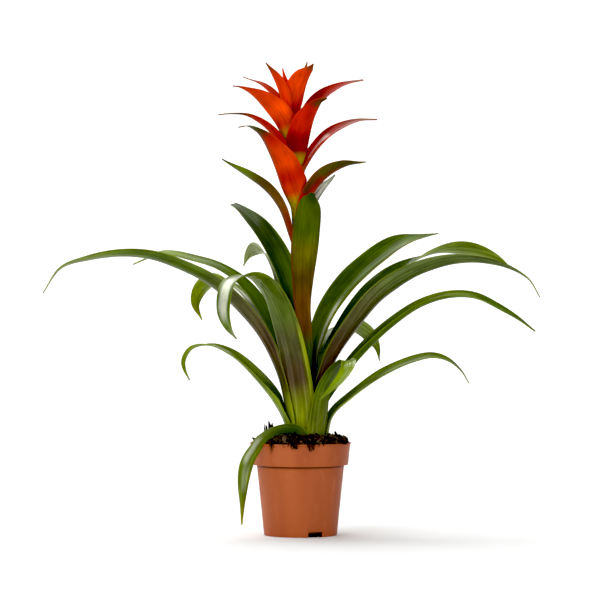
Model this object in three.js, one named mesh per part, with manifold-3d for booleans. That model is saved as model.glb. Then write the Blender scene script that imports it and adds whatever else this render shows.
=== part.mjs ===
// A potted bromeliad: a flowering Guzmania in a terracotta-coloured plastic nursery pot.
// Millimetres, +Z up. The origin is the centre of the pot's foot, on the surface that it stands on.
// Seen from the front, the viewer looks along +Y, +X is to the right and azimuths turn from +X
// towards +Y, so that 90 is the back, 180 the left and 270 the front.
import * as THREE from 'three';
import { mergeVertices } from 'three/addons/utils/BufferGeometryUtils.js';
import Module from 'manifold-3d';

const wasm = await Module();
wasm.setup();

// ---------------------------------------------------------------- driving dimensions
const RIM_DIAMETER = 120; // a 12 cm grower's pot
const POT_HEIGHT = 110;
const POT_WALL = 1.1;
const FOOT_RADIUS = 43.4;
const COLLAR_BOTTOM = 83.5; // height where the wall steps out into the stacking collar
const POT_FACETS = 40;
const DRAIN_SLOTS = 3;
const DRAIN_SLOT_WIDTH = 18;
const DRAIN_SLOT_HEIGHT = 6.4;
const FIRST_DRAIN_SLOT = 294; // azimuth

const FIT = 0.3; // clear gap between touching pieces
const STEM_X = 7; // the plant stands a little to the right of the pot's centre
const PLANT_BOTTOM = 100; // leaf bases and stem stand this high, in a hole in the soil
const PLANT_HOLE_RADIUS = 27; // the hole's floor lies a fit below the leaf bases
const SOIL_EDGE_HEIGHT = 107; // just under the rim
const SOIL_CROWN_HEIGHT = 117.5; // heaped against the leaf bases

const LEAF_THICKNESS = 0.9;
const BRACT_THICKNESS = 0.7;
const INNER_TIER_RADIUS = 8.4; // innermost leaf bases
const TIER_PITCH = 1.6; // each whorl of leaf bases outwards from there

const FLOWER_STALK_RADIUS = 4.4;
const CAUDEX_RADIUS = 7.6; // the short thick stem that the leaves grow from
const BRACT_BASE_RADIUS = 5.4;
const BRACT_CONE = 0.15; // how fast a bract's clasping base widens with height
const BRACT_WRAP = 3; // radians of the stalk that a bract clasps at most
const TIP_WIDTH = 1; // of leaves and bracts
const LEAF_STATIONS = 17; // along a leaf
const BRACT_STATIONS = 10; // along a bract
const BLADE_FACETS = 6; // across leaves and bracts

// ---------------------------------------------------------------- materials
function material(color, roughness) {
  return new THREE.MeshStandardMaterial({ color, roughness, metalness: 0 });
}
const POT_PLASTIC = material(0xb0582f, 0.5);
const SOIL_PEAT = material(0x2a1a12, 0.95);
const LEAF_GREEN = material(0x4a6b12, 0.35);
const STALK_GREEN = material(0x7d7a1c, 0.45);
const BRACT_GREEN = material(0x56701c, 0.4);
const BRACT_RED = material(0xd8300a, 0.4);

// ---------------------------------------------------------------- helpers
const radians = THREE.MathUtils.degToRad;
const smooth = THREE.MathUtils.smoothstep;

/** A closed mesh as a solid that can be joined and cut. */
function solid(geometry) {
  const bare = geometry.clone();
  bare.deleteAttribute('normal');
  bare.deleteAttribute('uv');
  const merged = mergeVertices(bare, 1e-4);
  return new wasm.Manifold(new wasm.Mesh({
    numProp: 3,
    vertProperties: merged.attributes.position.array,
    triVerts: new Uint32Array(merged.index.array),
  }));
}

/** A solid back as geometry for a mesh. */
function geometryOf(made) {
  const { numProp, vertProperties, triVerts } = made.getMesh();
  const position = new Float32Array((vertProperties.length / numProp) * 3);
  for (let i = 0; i < position.length / 3; i++) {
    position.set(vertProperties.subarray(i * numProp, i * numProp + 3), i * 3);
  }
  return new THREE.BufferGeometry()
    .setAttribute('position', new THREE.BufferAttribute(position, 3))
    .setIndex(new THREE.BufferAttribute(triVerts, 1));
}

/** A profile of [radius, height] points turned about +Z. */
function turned(profile, facets) {
  const points = profile.map(([radius, height]) => new THREE.Vector2(radius, height));
  return new THREE.LatheGeometry(points, facets).rotateX(Math.PI / 2);
}

function named(name, geometry, look) {
  const mesh = new THREE.Mesh(geometry, look);
  mesh.name = name;
  return mesh;
}

// ---------------------------------------------------------------- pot
function pot() {
  const rim = RIM_DIAMETER / 2;
  const channel = 2.5; // the base is raised in a ring, which drains to the slots
  const wallTop = 51.9; // outer radius just under the collar
  const collar = 56.6; // outer radius at the collar's lower edge
  const w = POT_WALL;
  const profile = [
    [0, 0], [14, 0], [16, channel], [33, channel], [35.5, 0], [FOOT_RADIUS - 1, 0],
    [FOOT_RADIUS, 1.2], [wallTop, COLLAR_BOTTOM], [collar - 0.5, COLLAR_BOTTOM],
    [collar, COLLAR_BOTTOM + 0.8], [rim - 1, POT_HEIGHT - 2.2], [rim, POT_HEIGHT - 1.6],
    [rim, POT_HEIGHT - 0.6], [rim - 0.6, POT_HEIGHT], [rim - 1.6, POT_HEIGHT],
    [rim - 1 - w, POT_HEIGHT - 2.2], [collar - w, COLLAR_BOTTOM + w], [wallTop - w, COLLAR_BOTTOM + w],
    [FOOT_RADIUS - w, 2.4], [FOOT_RADIUS - 2.2, w], [36.2, w], [33.7, channel + w],
    [15.3, channel + w], [13.3, w], [0, w],
  ];
  let body = solid(turned(profile, POT_FACETS));
  for (let i = 0; i < DRAIN_SLOTS; i++) {
    const length = 16; // from the raised ring out through the wall
    const slot = new THREE.BoxGeometry(length, DRAIN_SLOT_WIDTH, 2 * DRAIN_SLOT_HEIGHT)
      .translate(FOOT_RADIUS + 2 - length / 2, 0, 0)
      .rotateZ(radians(FIRST_DRAIN_SLOT + (i * 360) / DRAIN_SLOTS));
    body = body.subtract(solid(slot));
  }
  return named('pot', geometryOf(body), POT_PLASTIC);
}

// ---------------------------------------------------------------- soil
/** How far the heaped soil's surface stands above or below its smooth form, in clods. */
function clods(x, y) {
  const fine = Math.sin(x * 0.61 + 1.3 * Math.sin(y * 0.37))
    * Math.sin(y * 0.53 + 1.7 * Math.sin(x * 0.29));
  const coarse = Math.cos(0.17 * (x - 47)) * (0.7 + 0.3 * Math.cos(0.2 * y));
  return 1.4 * fine + 1.5 * coarse;
}

function soil() {
  const wallRadius = (height) => 42.3 + (height - 2.4) * 0.1037; // the pot's inner wall
  const hole = PLANT_HOLE_RADIUS;
  const floor = PLANT_BOTTOM - FIT;
  const collarLedge = COLLAR_BOTTOM + POT_WALL;
  const bottom = 2.5 + POT_WALL + FIT; // on the pot's raised ring
  const edge = 56.4; // just inside the rim
  const profile = [[0, bottom], [wallRadius(bottom) - FIT, bottom],
    [wallRadius(collarLedge) - FIT - 0.2, collarLedge + FIT], [54.9, collarLedge + FIT],
    [edge, SOIL_EDGE_HEIGHT - 2]];
  const rings = 6; // across the heaped surface, from the rim in to the hole
  for (let i = 0; i <= rings; i++) {
    const share = i / rings;
    const radius = THREE.MathUtils.lerp(edge - 0.4, hole, share);
    const height = THREE.MathUtils.lerp(SOIL_EDGE_HEIGHT, SOIL_CROWN_HEIGHT, share ** 0.35);
    profile.push([radius, height]);
  }
  profile.push([hole, floor], [0, floor]);
  const geometry = turned(profile, 38);
  const position = geometry.attributes.position;
  for (let i = 0; i < position.count; i++) {
    const [x, y, z] = [position.getX(i), position.getY(i), position.getZ(i)];
    if (z < SOIL_EDGE_HEIGHT - 0.01) continue;
    const radius = Math.hypot(x, y);
    const nearRim = smooth(radius, edge - 5, edge - 0.4);
    const nearHole = 1 - smooth(radius, hole - 0.1, hole + 8);
    const calm = Math.max(nearRim, nearHole);
    position.setZ(i, z + clods(x, y) * (1 - 0.65 * calm));
  }
  const holeShift = STEM_X;
  for (let i = 0; i < position.count; i++) {
    const radius = Math.hypot(position.getX(i), position.getY(i));
    const z = position.getZ(i);
    const share = z > floor - 0.01 ? 1 - smooth(radius, hole, edge - 2) : 0;
    position.setX(i, position.getX(i) + holeShift * share);
  }
  return named('soil', geometryOf(solid(geometry)), SOIL_PEAT);
}

// ---------------------------------------------------------------- leaves and bracts
/** Shares of a spine's length, closer together where it bends. */
function stationsAlong(spine, count) {
  const fine = 240;
  const tangents = Array.from({ length: fine + 1 }, (_, i) => spine.getTangentAt(i / fine));
  const turns = tangents.map((t, i) => (i ? t.angleTo(tangents[i - 1]) : 0));
  const allTurns = turns.reduce((sum, turn) => sum + turn, 0);
  const weight = 0.6; // how much a bend counts for against plain length
  const shares = [0];
  let gone = 0;
  for (let i = 1; i <= fine; i++) {
    const step = (1 - weight) / fine + (weight * turns[i]) / allTurns;
    while (shares.length < count && gone + step >= shares.length / count) {
      shares.push((i - 1 + (shares.length / count - gone) / step) / fine);
    }
    gone += step;
  }
  return [...shares, 1];
}

/**
 * A thin closed blade swept along a spine. Each section is an arc that is hollow towards the
 * plant's axis, or upwards once the blade has bent over. side is the section's direction at the
 * base, and width, hollow (the arc's radius) and roll (in degrees) depend on the share of the
 * length. Both faces are split into triangles alike.
 */
function bladeGeometry({ spine, side, width, hollow, roll, thickness, along, across }) {
  const stations = [];
  let lastTangent = spine.getTangentAt(0);
  const sideways = side.clone();
  for (const share of stationsAlong(spine, along)) {
    const tangent = spine.getTangentAt(share);
    sideways.applyQuaternion(new THREE.Quaternion().setFromUnitVectors(lastTangent, tangent));
    sideways.addScaledVector(tangent, -sideways.dot(tangent)).normalize();
    lastTangent = tangent;
    stations.push({
      point: spine.getPointAt(share),
      share,
      side: sideways.clone().applyAxisAngle(tangent, radians(roll(share))),
      tangent,
    });
  }
  const position = [];
  for (const { point, share, side: s, tangent } of stations) {
    const up = new THREE.Vector3().crossVectors(tangent, s);
    const radius = hollow(share);
    for (const face of [1, -1]) {
      for (let j = 0; j <= across; j++) {
        const angle = ((j / across - 0.5) * width(share)) / radius;
        const vertex = point.clone()
          .addScaledVector(s, radius * Math.sin(angle))
          .addScaledVector(up, radius * (1 - Math.cos(angle)))
          .addScaledVector(s, -face * (thickness / 2) * Math.sin(angle))
          .addScaledVector(up, face * (thickness / 2) * Math.cos(angle));
        position.push(vertex.x, vertex.y, vertex.z);
      }
    }
  }
  const row = across + 1;
  const at = (i, face, j) => (2 * i + (face > 0 ? 0 : 1)) * row + j;
  const index = [];
  const quad = (a, b, c, d) => index.push(a, b, c, a, c, d);
  for (let i = 0; i < along; i++) {
    for (let j = 0; j < across; j++) {
      const [a, b, c, d] = [at(i, 1, j), at(i, 1, j + 1), at(i + 1, 1, j + 1), at(i + 1, 1, j)];
      index.push(a, c, b, a, d, c); // upper face
      index.push(a + row, b + row, c + row, a + row, c + row, d + row); // lower face, split alike
    }
    quad(at(i, 1, 0), at(i, -1, 0), at(i + 1, -1, 0), at(i + 1, 1, 0));
    quad(at(i, -1, across), at(i, 1, across), at(i + 1, 1, across), at(i + 1, -1, across));
  }
  for (let j = 0; j < across; j++) {
    quad(at(0, 1, j), at(0, 1, j + 1), at(0, -1, j + 1), at(0, -1, j));
    quad(at(along, 1, j + 1), at(along, 1, j), at(along, -1, j), at(along, -1, j + 1));
  }
  return new THREE.BufferGeometry()
    .setAttribute('position', new THREE.Float32BufferAttribute(position, 3))
    .setIndex(index);
}

function curveThrough(points) {
  return new THREE.CatmullRomCurve3(points.map((p) => new THREE.Vector3(...p)), false, 'centripetal');
}

/** A spine through points of [reach, height, azimuth], about a vertical axis at a centre. */
function spineThrough(points, azimuth, centre) {
  return curveThrough(points.map(([reach, height, heading = azimuth]) => [
    centre.x + reach * Math.cos(radians(heading)),
    centre.y + reach * Math.sin(radians(heading)),
    centre.z + height,
  ]));
}

/** The direction across a blade where it grows out of the stem at that azimuth. */
function acrossAt(azimuth) {
  return new THREE.Vector3(-Math.sin(radians(azimuth)), Math.cos(radians(azimuth)), 0);
}

/** Values given at equal steps along a blade, joined smoothly. */
function joined(values, share) {
  const x = Math.min(0.9999, Math.max(0, share)) * (values.length - 1);
  const i = Math.floor(x);
  const t = x - i;
  const at = (k) => values[Math.min(values.length - 1, Math.max(0, k))];
  const slopeIn = (at(i + 1) - at(i - 1)) / 2;
  const slopeOut = (at(i + 2) - at(i)) / 2;
  return (2 * t ** 3 - 3 * t ** 2 + 1) * at(i) + (t ** 3 - 2 * t ** 2 + t) * slopeIn
    + (3 * t ** 2 - 2 * t ** 3) * at(i + 1) + (t ** 3 - t ** 2) * slopeOut;
}

/**
 * One strap-shaped rosette leaf. tier counts leaf bases outwards from the stem, clasp is the length
 * that hugs the stem, wrap how many radians of it the base covers, and path is the midrib after
 * that, as [reach, height] from the plant's axis, with an azimuth where the leaf swings sideways.
 * widths and rolls are given at equal steps from base to tip, channel is the radius of the blade's
 * hollow where it leaves the stem and at the tip.
 */
function leaf({
  name, tier, azimuth, root = azimuth, clasp, wrap, path, widths, rolls = [0, 0], channel = [15, 24],
}) {
  const baseRadius = INNER_TIER_RADIUS + TIER_PITCH * tier;
  const flare = 0.035 + 0.0125 * tier; // outer leaf bases lean out more
  const points = [0, 0.5, 1].map((x) => (
    [baseRadius + flare * clasp * x, PLANT_BOTTOM + clasp * x, root]
  ));
  const spine = spineThrough([...points, ...path], azimuth, new THREE.Vector3(STEM_X, 0, 0));
  const clasped = clasp / spine.getLength();
  const reachAt = (share) => {
    const p = spine.getPointAt(share);
    return Math.hypot(p.x - STEM_X, p.y);
  };
  const geometry = bladeGeometry({
    spine,
    side: acrossAt(root),
    width: (share) => Math.max(TIP_WIDTH, Math.min(joined(widths, share), wrap * reachAt(share))),
    hollow: (share) => THREE.MathUtils.lerp(
      reachAt(share), THREE.MathUtils.lerp(...channel, share), smooth(share, clasped, clasped + 0.15),
    ),
    roll: (share) => joined(rolls, share),
    thickness: LEAF_THICKNESS,
    along: LEAF_STATIONS,
    across: BLADE_FACETS,
  });
  return named(name, geometry, LEAF_GREEN);
}

const STALK_POINTS = [
  [7, 0, PLANT_BOTTOM], [9, 0, 180], [3, 0, 270], [-1, 0, 335], [-5, 0, 390], [-6, 0, 435],
  [-9, 0, 475], [-12, 0, 508],
];
const STALK = curveThrough(STALK_POINTS);

/** The stalk's centre at a height. */
function stalkAt(height) {
  let [low, high] = [0, 1];
  for (let i = 0; i < 24; i++) {
    const middle = (low + high) / 2;
    if (STALK.getPoint(middle).z < height) low = middle;
    else high = middle;
  }
  return STALK.getPoint(low);
}

/**
 * One bract of the flower head. attach is the height of its base on the stalk, hug how far up its
 * base clasps, and path its midrib after that, as [reach, height] from its base, with an azimuth
 * where it swings. widths and rolls are given at equal steps from base to tip.
 */
function bract({
  name, attach, azimuth, hug, path, widths, rolls = [0, 0], channel = [13, 18], look = BRACT_RED,
}) {
  const centre = stalkAt(attach);
  const base = [0, 0.5, 1].map((x) => [BRACT_BASE_RADIUS + BRACT_CONE * hug * x, hug * x, azimuth]);
  const spine = spineThrough([...base, ...path], azimuth, centre);
  const clasped = hug / spine.getLength();
  const reachAt = (share) => {
    const p = spine.getPointAt(share);
    return Math.hypot(p.x - centre.x, p.y - centre.y);
  };
  const geometry = bladeGeometry({
    spine,
    side: acrossAt(azimuth),
    width: (share) => Math.max(TIP_WIDTH, Math.min(joined(widths, share), BRACT_WRAP * reachAt(share))),
    hollow: (share) => THREE.MathUtils.lerp(
      reachAt(share), THREE.MathUtils.lerp(...channel, share), smooth(share, clasped, clasped + 0.25),
    ),
    roll: (share) => joined(rolls, share),
    thickness: BRACT_THICKNESS,
    along: BRACT_STATIONS,
    across: BLADE_FACETS,
  });
  return named(name, geometry, look);
}

// ---------------------------------------------------------------- flower stalk
function stalk() {
  const outline = new THREE.Shape().absarc(0, 0, FLOWER_STALK_RADIUS, 0, 2 * Math.PI, false);
  const stem = new THREE.ExtrudeGeometry(outline, { extrudePath: STALK, steps: 18, curveSegments: 6 });
  const caudex = turned([
    [0, PLANT_BOTTOM], [CAUDEX_RADIUS, PLANT_BOTTOM], [CAUDEX_RADIUS, PLANT_BOTTOM + 9],
    [FLOWER_STALK_RADIUS - 0.6, PLANT_BOTTOM + 30], [0, PLANT_BOTTOM + 30],
  ], 16).translate(STEM_X, 0, 0);
  return named('flower_stalk', geometryOf(solid(stem).add(solid(caudex))), STALK_GREEN);
}

// ---------------------------------------------------------------- the plant, leaf by leaf
const LEAVES = [
  { name: 'leaf_over_rim', tier: 9, azimuth: 222, root: 258, clasp: 14, wrap: 1.5,
    path: [[27.5, 123.5, 248], [37, 128, 234], [50, 125, 222], [66.8, 118.5, 218], [79.3, 100, 215],
      [84.8, 72, 213], [87.5, 42, 212], [89, 16, 212]],
    widths: [30, 17, 14, 17, 20, 14, 1], channel: [26, 18] },
  { name: 'leaf_low_right', tier: 9, azimuth: 8, clasp: 22, wrap: 1.5,
    path: [[31, 140.5], [53, 162], [90, 188.5], [126.5, 205.5], [152, 211.5], [171, 207], [187, 194.5], [197, 179]],
    widths: [38, 26, 22, 21, 17, 11, 1], rolls: [0, 8, 14, 12, -20, -40], channel: [14, 20] },
  { name: 'leaf_low_left', tier: 8, azimuth: 186, clasp: 30, wrap: 1.9,
    path: [[39.3, 158.3], [62, 187.6], [89.5, 214], [115, 225], [137, 221], [146, 207], [145, 197], [139, 184]],
    widths: [38, 36, 32, 26, 16, 11, 1], rolls: [0, -5, -20, -22, -20, 30, 60], channel: [13, 16] },
  { name: 'leaf_front_folded', tier: 8, azimuth: 308, clasp: 38, wrap: 1.9,
    path: [[36, 172], [56, 196], [77, 208, 308], [91, 202, 302], [99, 186, 292.5], [105, 164, 278]],
    widths: [40, 29, 25, 22, 18, 12, 1], channel: [18, 18] },
  { name: 'leaf_long_left', tier: 7, azimuth: 191, clasp: 60, wrap: 1.9,
    path: [[34.5, 189], [56, 231.5], [81, 263], [115.5, 295.5], [150, 316], [186, 329.5],
      [221, 333], [261, 327.5], [292.5, 316], [313.5, 287]],
    widths: [40, 23, 28, 28, 27, 20, 1], rolls: [0, 0, 20, 18, 16, 14], channel: [14, 22] },
  { name: 'leaf_front_arched', tier: 6, azimuth: 243, root: 250, clasp: 55, wrap: 1.9,
    path: [[32, 197], [45, 226], [63, 257], [86, 283], [118, 301], [155, 306], [194, 295],
      [209, 266, 243.6], [201, 248, 243.9], [178, 235, 243.4]],
    widths: [40, 38, 38, 36, 30, 26, 24, 18, 1], channel: [24, 22] },
  { name: 'leaf_back_low', tier: 6, azimuth: 92, clasp: 35, wrap: 1.9,
    path: [[42, 160], [80, 180], [125, 184], [170, 160], [198, 122]],
    widths: [40, 32, 28, 24, 18, 1] },
  { name: 'leaf_mid_right', tier: 5, azimuth: 355, clasp: 48, wrap: 1.9,
    path: [[40.5, 180], [66.5, 213.3], [101, 246.5], [136, 271], [170, 282], [200, 281.5], [229, 269],
      [251, 257], [271, 242]],
    widths: [40, 32, 33, 31, 26, 18, 1], rolls: [0, 0, 12, 14, 12, 0], channel: [13, 16] },
  { name: 'leaf_back_left_droop', tier: 5, azimuth: 149, clasp: 60, wrap: 1.7,
    path: [[28, 195], [44, 231], [64, 260], [80, 277], [95, 290], [124, 303], [149, 291],
      [157, 274], [148, 255]],
    widths: [36, 25, 24, 26, 27, 28, 1], rolls: [0, 0, 0, 0, 20, 30], channel: [26, 24] },
  { name: 'leaf_back_hidden', tier: 4, azimuth: 86, clasp: 64, wrap: 1.5,
    path: [[34, 196], [64, 223], [112, 234], [160, 216], [192, 172]],
    widths: [20, 22, 28, 25, 20, 1] },
  { name: 'leaf_long_right', tier: 3, azimuth: 345, clasp: 65, wrap: 1.9,
    path: [[32.5, 205], [57, 244.5], [91.5, 286], [138, 314.5], [186, 326], [234, 320.5], [267, 304],
      [281, 282]],
    widths: [38, 34, 33, 32, 28, 19, 11, 1], rolls: [0, 0, -22, -36, -38, -30, -20], channel: [18, 24] },
  { name: 'leaf_left_dark', tier: 3, azimuth: 166, clasp: 65, wrap: 1.9,
    path: [[24, 196], [43, 246], [73, 292], [106, 316], [144, 328], [180, 335], [200, 328], [215, 322]],
    widths: [38, 30, 30, 27, 22, 18, 1], rolls: [0, 0, -25, -20, -15, -15], channel: [16, 24] },
  { name: 'leaf_back_right_short', tier: 2, azimuth: 54, clasp: 65, wrap: 1.6,
    path: [[24, 195], [41, 225], [65, 243], [93, 248], [120, 241], [137, 231], [149, 220], [153.5, 204]],
    widths: [34, 30, 28, 26, 24, 20, 1], rolls: [0, 0, 0, -30, -30] },
  { name: 'leaf_right_upper', tier: 1, azimuth: 18, clasp: 75, wrap: 1.7,
    path: [[22, 205], [51, 248], [82, 287], [112, 311], [143, 328.5], [178, 339], [215, 338],
      [244, 330], [261, 319]],
    widths: [34, 26, 25, 29, 27, 24, 24, 1], rolls: [0, 0, 10, 40, 45, -10, -42, -40],
    channel: [16, 24] },
  { name: 'leaf_back_left_curl', tier: 1, azimuth: 122, clasp: 80, wrap: 1.7,
    path: [[18, 220], [32, 269], [51, 291], [69, 315], [90, 332], [113, 340], [134, 334.5], [145.5, 321]],
    widths: [32, 28, 26, 26, 29, 31, 1], rolls: [0, 0, 0, 0, 25, 45] },
  { name: 'leaf_right_tall', tier: 0, azimuth: 28, clasp: 85, wrap: 1.7,
    path: [[14, 222], [29, 261], [57, 297], [89.5, 323.5], [129, 348], [160, 356.5], [182, 360]],
    widths: [32, 26, 27, 33, 34, 29, 1], rolls: [0, 0, 20, 30, 28, 20], channel: [16, 26] },
  { name: 'leaf_left_tall', tier: 0, azimuth: 135, clasp: 90, wrap: 1.7,
    path: [[13, 231], [17, 261], [28, 292], [51, 333], [81, 367], [112.5, 390], [126, 396]],
    widths: [32, 30, 30, 31, 32, 31, 25, 1], rolls: [0, 0, -12, -16, -16], channel: [16, 26] },
];

const BRACTS = [
  { name: 'scape_leaf_front', attach: 192, azimuth: 262, hug: 40, look: BRACT_GREEN,
    path: [[13, 80, 241], [14.5, 115, 243], [18, 145, 253], [25, 175, 265], [36, 201, 273],
      [54, 213, 276]],
    widths: [12, 14, 17, 21, 29, 38, 39, 31, 5], channel: [18, 22] },
  { name: 'bract_low_left', attach: 316, azimuth: 195, hug: 22, look: BRACT_GREEN,
    path: [[14.5, 41], [25.5, 72.5], [41.5, 94], [65, 111], [96, 129]],
    widths: [16, 21, 24, 22, 14, 1], rolls: [0, 0, 10, 12] },
  { name: 'bract_low_back', attach: 328, azimuth: 88, hug: 20, look: BRACT_GREEN,
    path: [[18, 46], [42, 70], [68, 80]], widths: [13, 15, 22, 22, 12, 1] },
  { name: 'bract_pale_back', attach: 342, azimuth: 44, hug: 20, look: BRACT_GREEN,
    path: [[19, 45], [37.5, 68.5], [59.5, 87.5]], widths: [15, 20, 26, 24, 15, 1] },
  { name: 'bract_low_right', attach: 360, azimuth: 335, hug: 22,
    path: [[16, 40.5], [36.8, 64.5], [61, 77.5], [88, 81]],
    widths: [17, 27, 33, 32, 20, 1], rolls: [0, 0, -12, -20] },
  { name: 'bract_front_left', attach: 374, azimuth: 229, hug: 14,
    path: [[18.5, 40], [36, 71], [56, 95], [69, 102.5], [86.5, 107.5], [103, 105.5]],
    widths: [20, 44, 53, 45, 23, 7, 1], channel: [17, 18] },
  { name: 'bract_left_long', attach: 387, azimuth: 186, hug: 20,
    path: [[16, 50], [21, 75], [36, 96], [58, 110.5], [78, 112.5], [93, 111]],
    widths: [15, 22, 28, 30, 20, 7, 1], rolls: [0, 0, 15, 15] },
  { name: 'bract_back_a', attach: 397, azimuth: 82, hug: 20,
    path: [[18, 44], [38, 66], [62, 76]], widths: [12, 13, 22, 24, 14, 1] },
  { name: 'bract_right_shiny', attach: 408, azimuth: 22, hug: 18,
    path: [[20, 40], [43, 67], [63, 79.5], [82, 86], [105, 87.5]],
    widths: [16, 24, 27, 23, 14, 6, 1], rolls: [0, 0, 22, 20] },
  { name: 'bract_front_right', attach: 420, azimuth: 303, hug: 18,
    path: [[15, 48], [28, 74], [42, 89, 307], [53, 95, 313]],
    widths: [16, 30, 40, 37, 22, 1], channel: [15, 18] },
  { name: 'bract_back_b', attach: 430, azimuth: 112, hug: 18,
    path: [[16, 42], [30, 56], [44, 60]], widths: [13, 18, 26, 24, 14, 1] },
  { name: 'bract_left_front', attach: 440, azimuth: 214, hug: 18,
    path: [[20, 44], [37, 64.5], [56, 81], [76, 88.5], [88, 89.5]],
    widths: [16, 31, 44, 44, 30, 12, 1], rolls: [0, 5, 12, 15, 15, 10], channel: [16, 18] },
  { name: 'bract_right_thin', attach: 450, azimuth: 12, hug: 16,
    path: [[18, 47], [34, 70], [51, 82], [65, 87.5], [84, 91.5]],
    widths: [16, 22, 31, 27, 16, 6, 1], rolls: [0, 0, 15] },
  { name: 'bract_back_c', attach: 459, azimuth: 85, hug: 16,
    path: [[17, 40], [34, 54]], widths: [8, 11, 19, 14, 1] },
  { name: 'bract_left_thin', attach: 467, azimuth: 150, hug: 14,
    path: [[17, 42], [42, 67.5], [70, 79.5]], widths: [5, 9, 20, 22, 16, 1] },
  { name: 'bract_top_left', attach: 476, azimuth: 224, hug: 14,
    path: [[15, 42], [29.5, 68.5], [44, 82.5]], widths: [9, 13, 21, 16, 1], channel: [12, 14] },
  { name: 'bract_top_right', attach: 484, azimuth: 306, hug: 14,
    path: [[14, 38], [26, 59], [38, 73, 311]], widths: [13, 24, 34, 37, 26, 1], channel: [13, 15] },
  { name: 'bract_top_spike_right', attach: 492, azimuth: 40, hug: 14,
    path: [[12, 36], [24, 71]], widths: [10, 16, 19, 13, 1], channel: [11, 12] },
  { name: 'bract_top_spike_left', attach: 500, azimuth: 140, hug: 14,
    path: [[8, 32], [13, 55]], widths: [9, 13, 15, 9, 1], channel: [10, 12] },
  { name: 'bract_heart', attach: 507, azimuth: 286, hug: 12,
    path: [[9, 26], [16, 42, 291]], widths: [8, 11, 12, 7, 1], channel: [9, 10] },
];

// ---------------------------------------------------------------- the assembled plant
const group = new THREE.Group();
group.name = 'potted_bromeliad';
group.add(pot(), soil(), stalk(), ...LEAVES.map(leaf), ...BRACTS.map(bract));

export default group;
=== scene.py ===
"""The looks of a potted bromeliad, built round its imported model.

The frame is in metres, +Z up, and the viewer of the photo looks along +Y. The sizes in the classes
and tables below are in millimetres, as on a drawing, unless they say otherwise, and each surface is
worked out in millimetres and put down in metres. Azimuths turn from +X towards +Y, so 270 is the
front.
"""

import logging
import math
import random
from bisect import bisect_right
from collections.abc import Sequence
from dataclasses import dataclass, replace
from enum import Enum
from functools import cached_property
from typing import Any, ClassVar

import bmesh
import bpy
from mathutils import Matrix, Vector, noise


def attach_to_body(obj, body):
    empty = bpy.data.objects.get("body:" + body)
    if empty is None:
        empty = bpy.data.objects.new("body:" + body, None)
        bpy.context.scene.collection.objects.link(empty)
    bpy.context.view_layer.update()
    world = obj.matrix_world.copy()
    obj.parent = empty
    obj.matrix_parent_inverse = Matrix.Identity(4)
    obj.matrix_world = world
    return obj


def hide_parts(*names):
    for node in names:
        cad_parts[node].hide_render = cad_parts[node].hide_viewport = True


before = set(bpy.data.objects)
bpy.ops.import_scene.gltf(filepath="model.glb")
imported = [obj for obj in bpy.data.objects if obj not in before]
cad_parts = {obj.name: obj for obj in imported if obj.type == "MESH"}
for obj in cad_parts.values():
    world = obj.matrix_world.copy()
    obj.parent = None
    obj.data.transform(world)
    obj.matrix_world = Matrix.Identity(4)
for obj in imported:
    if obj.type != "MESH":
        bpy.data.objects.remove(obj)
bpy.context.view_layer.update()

LOG = logging.getLogger("bromeliad")
MM = 0.001
BODY = "root"
SEED = 11
BELOW_ONE = 0.9999  # the largest share of a row of values, so that one more value follows it


class Tone(Enum):
    """The plant's colours, as they look in soft daylight, in sRGB."""

    # the greens, from the leaf bases to the tips
    SHEATH_YELLOW = "#7E8810"
    SHEATH_OLIVE = "#5A660A"
    DEEP_GREEN = "#324210"
    LEAF_GREEN = "#465A08"
    OLIVE = "#5E7010"
    FRESH_GREEN = "#758A10"
    GREY_GREEN = "#4E5C28"
    PALE_OLIVE = "#7F8A50"
    MOSS = "#50601E"
    SCAPE_GREEN = "#475508"
    YELLOW_GREEN = "#8A9420"
    YELLOW_OLIVE = "#625C08"
    TIP_YELLOW = "#8C8E1A"

    # the purple tinge that undersides take low on the plant
    PURPLE_BROWN = "#4A3A22"
    PURPLE_GREEN = "#4A4A24"

    # painted highlights where wax catches the light, and a pale grey
    BLOOM = "#D2D6BE"
    PALE_GREY = "#B9BEB0"
    # a painted pink highlight on a glossy bract
    PINK_SHINE = "#EBD0C8"

    # the bracts, from the yellow foot over rust to orange
    YELLOW_BASE = "#B4A00A"
    RUST = "#66440A"
    RUST_OLIVE = "#52400F"
    BROWN_RED = "#7E2C08"
    DEEP_RED = "#901C06"
    RED = "#B22C05"
    ORANGE_RED = "#C84008"
    ORANGE = "#E24C0A"


class Slot(Enum):
    """The record's material slots, one named by each blade; a blade's finish comes from its skin.
    """

    LEAF_GREEN = "leaf_green"
    BRACT_GREEN = "bract_green"
    BRACT_RED = "bract_red"


def linear(colour: str) -> tuple[float, float, float, float]:
    """Turns an sRGB hex colour to linear light.

    Args:
        colour: Six hex digits after a hash sign.

    Returns:
        Red, green, blue and an alpha of 1, in linear light.
    """
    parts = [int(colour[i : i + 2], 16) / 255 for i in (1, 3, 5)]
    # the two branches of the sRGB standard's own curve
    red, green, blue = (c / 12.92 if c <= 0.04045 else ((c + 0.055) / 1.055) ** 2.4 for c in parts)
    return red, green, blue, 1.0


def smooth(value: float, low: float, high: float) -> float:
    """Returns 0 below low, 1 above high and a smooth step between them."""
    share = min(1.0, max(0.0, (value - low) / (high - low)))
    return share * share * (3 - 2 * share)


def mix(a: float, b: float, share: float) -> float:
    """Returns the number that lies a share of the way from a to b."""
    return a + (b - a) * share


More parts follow.
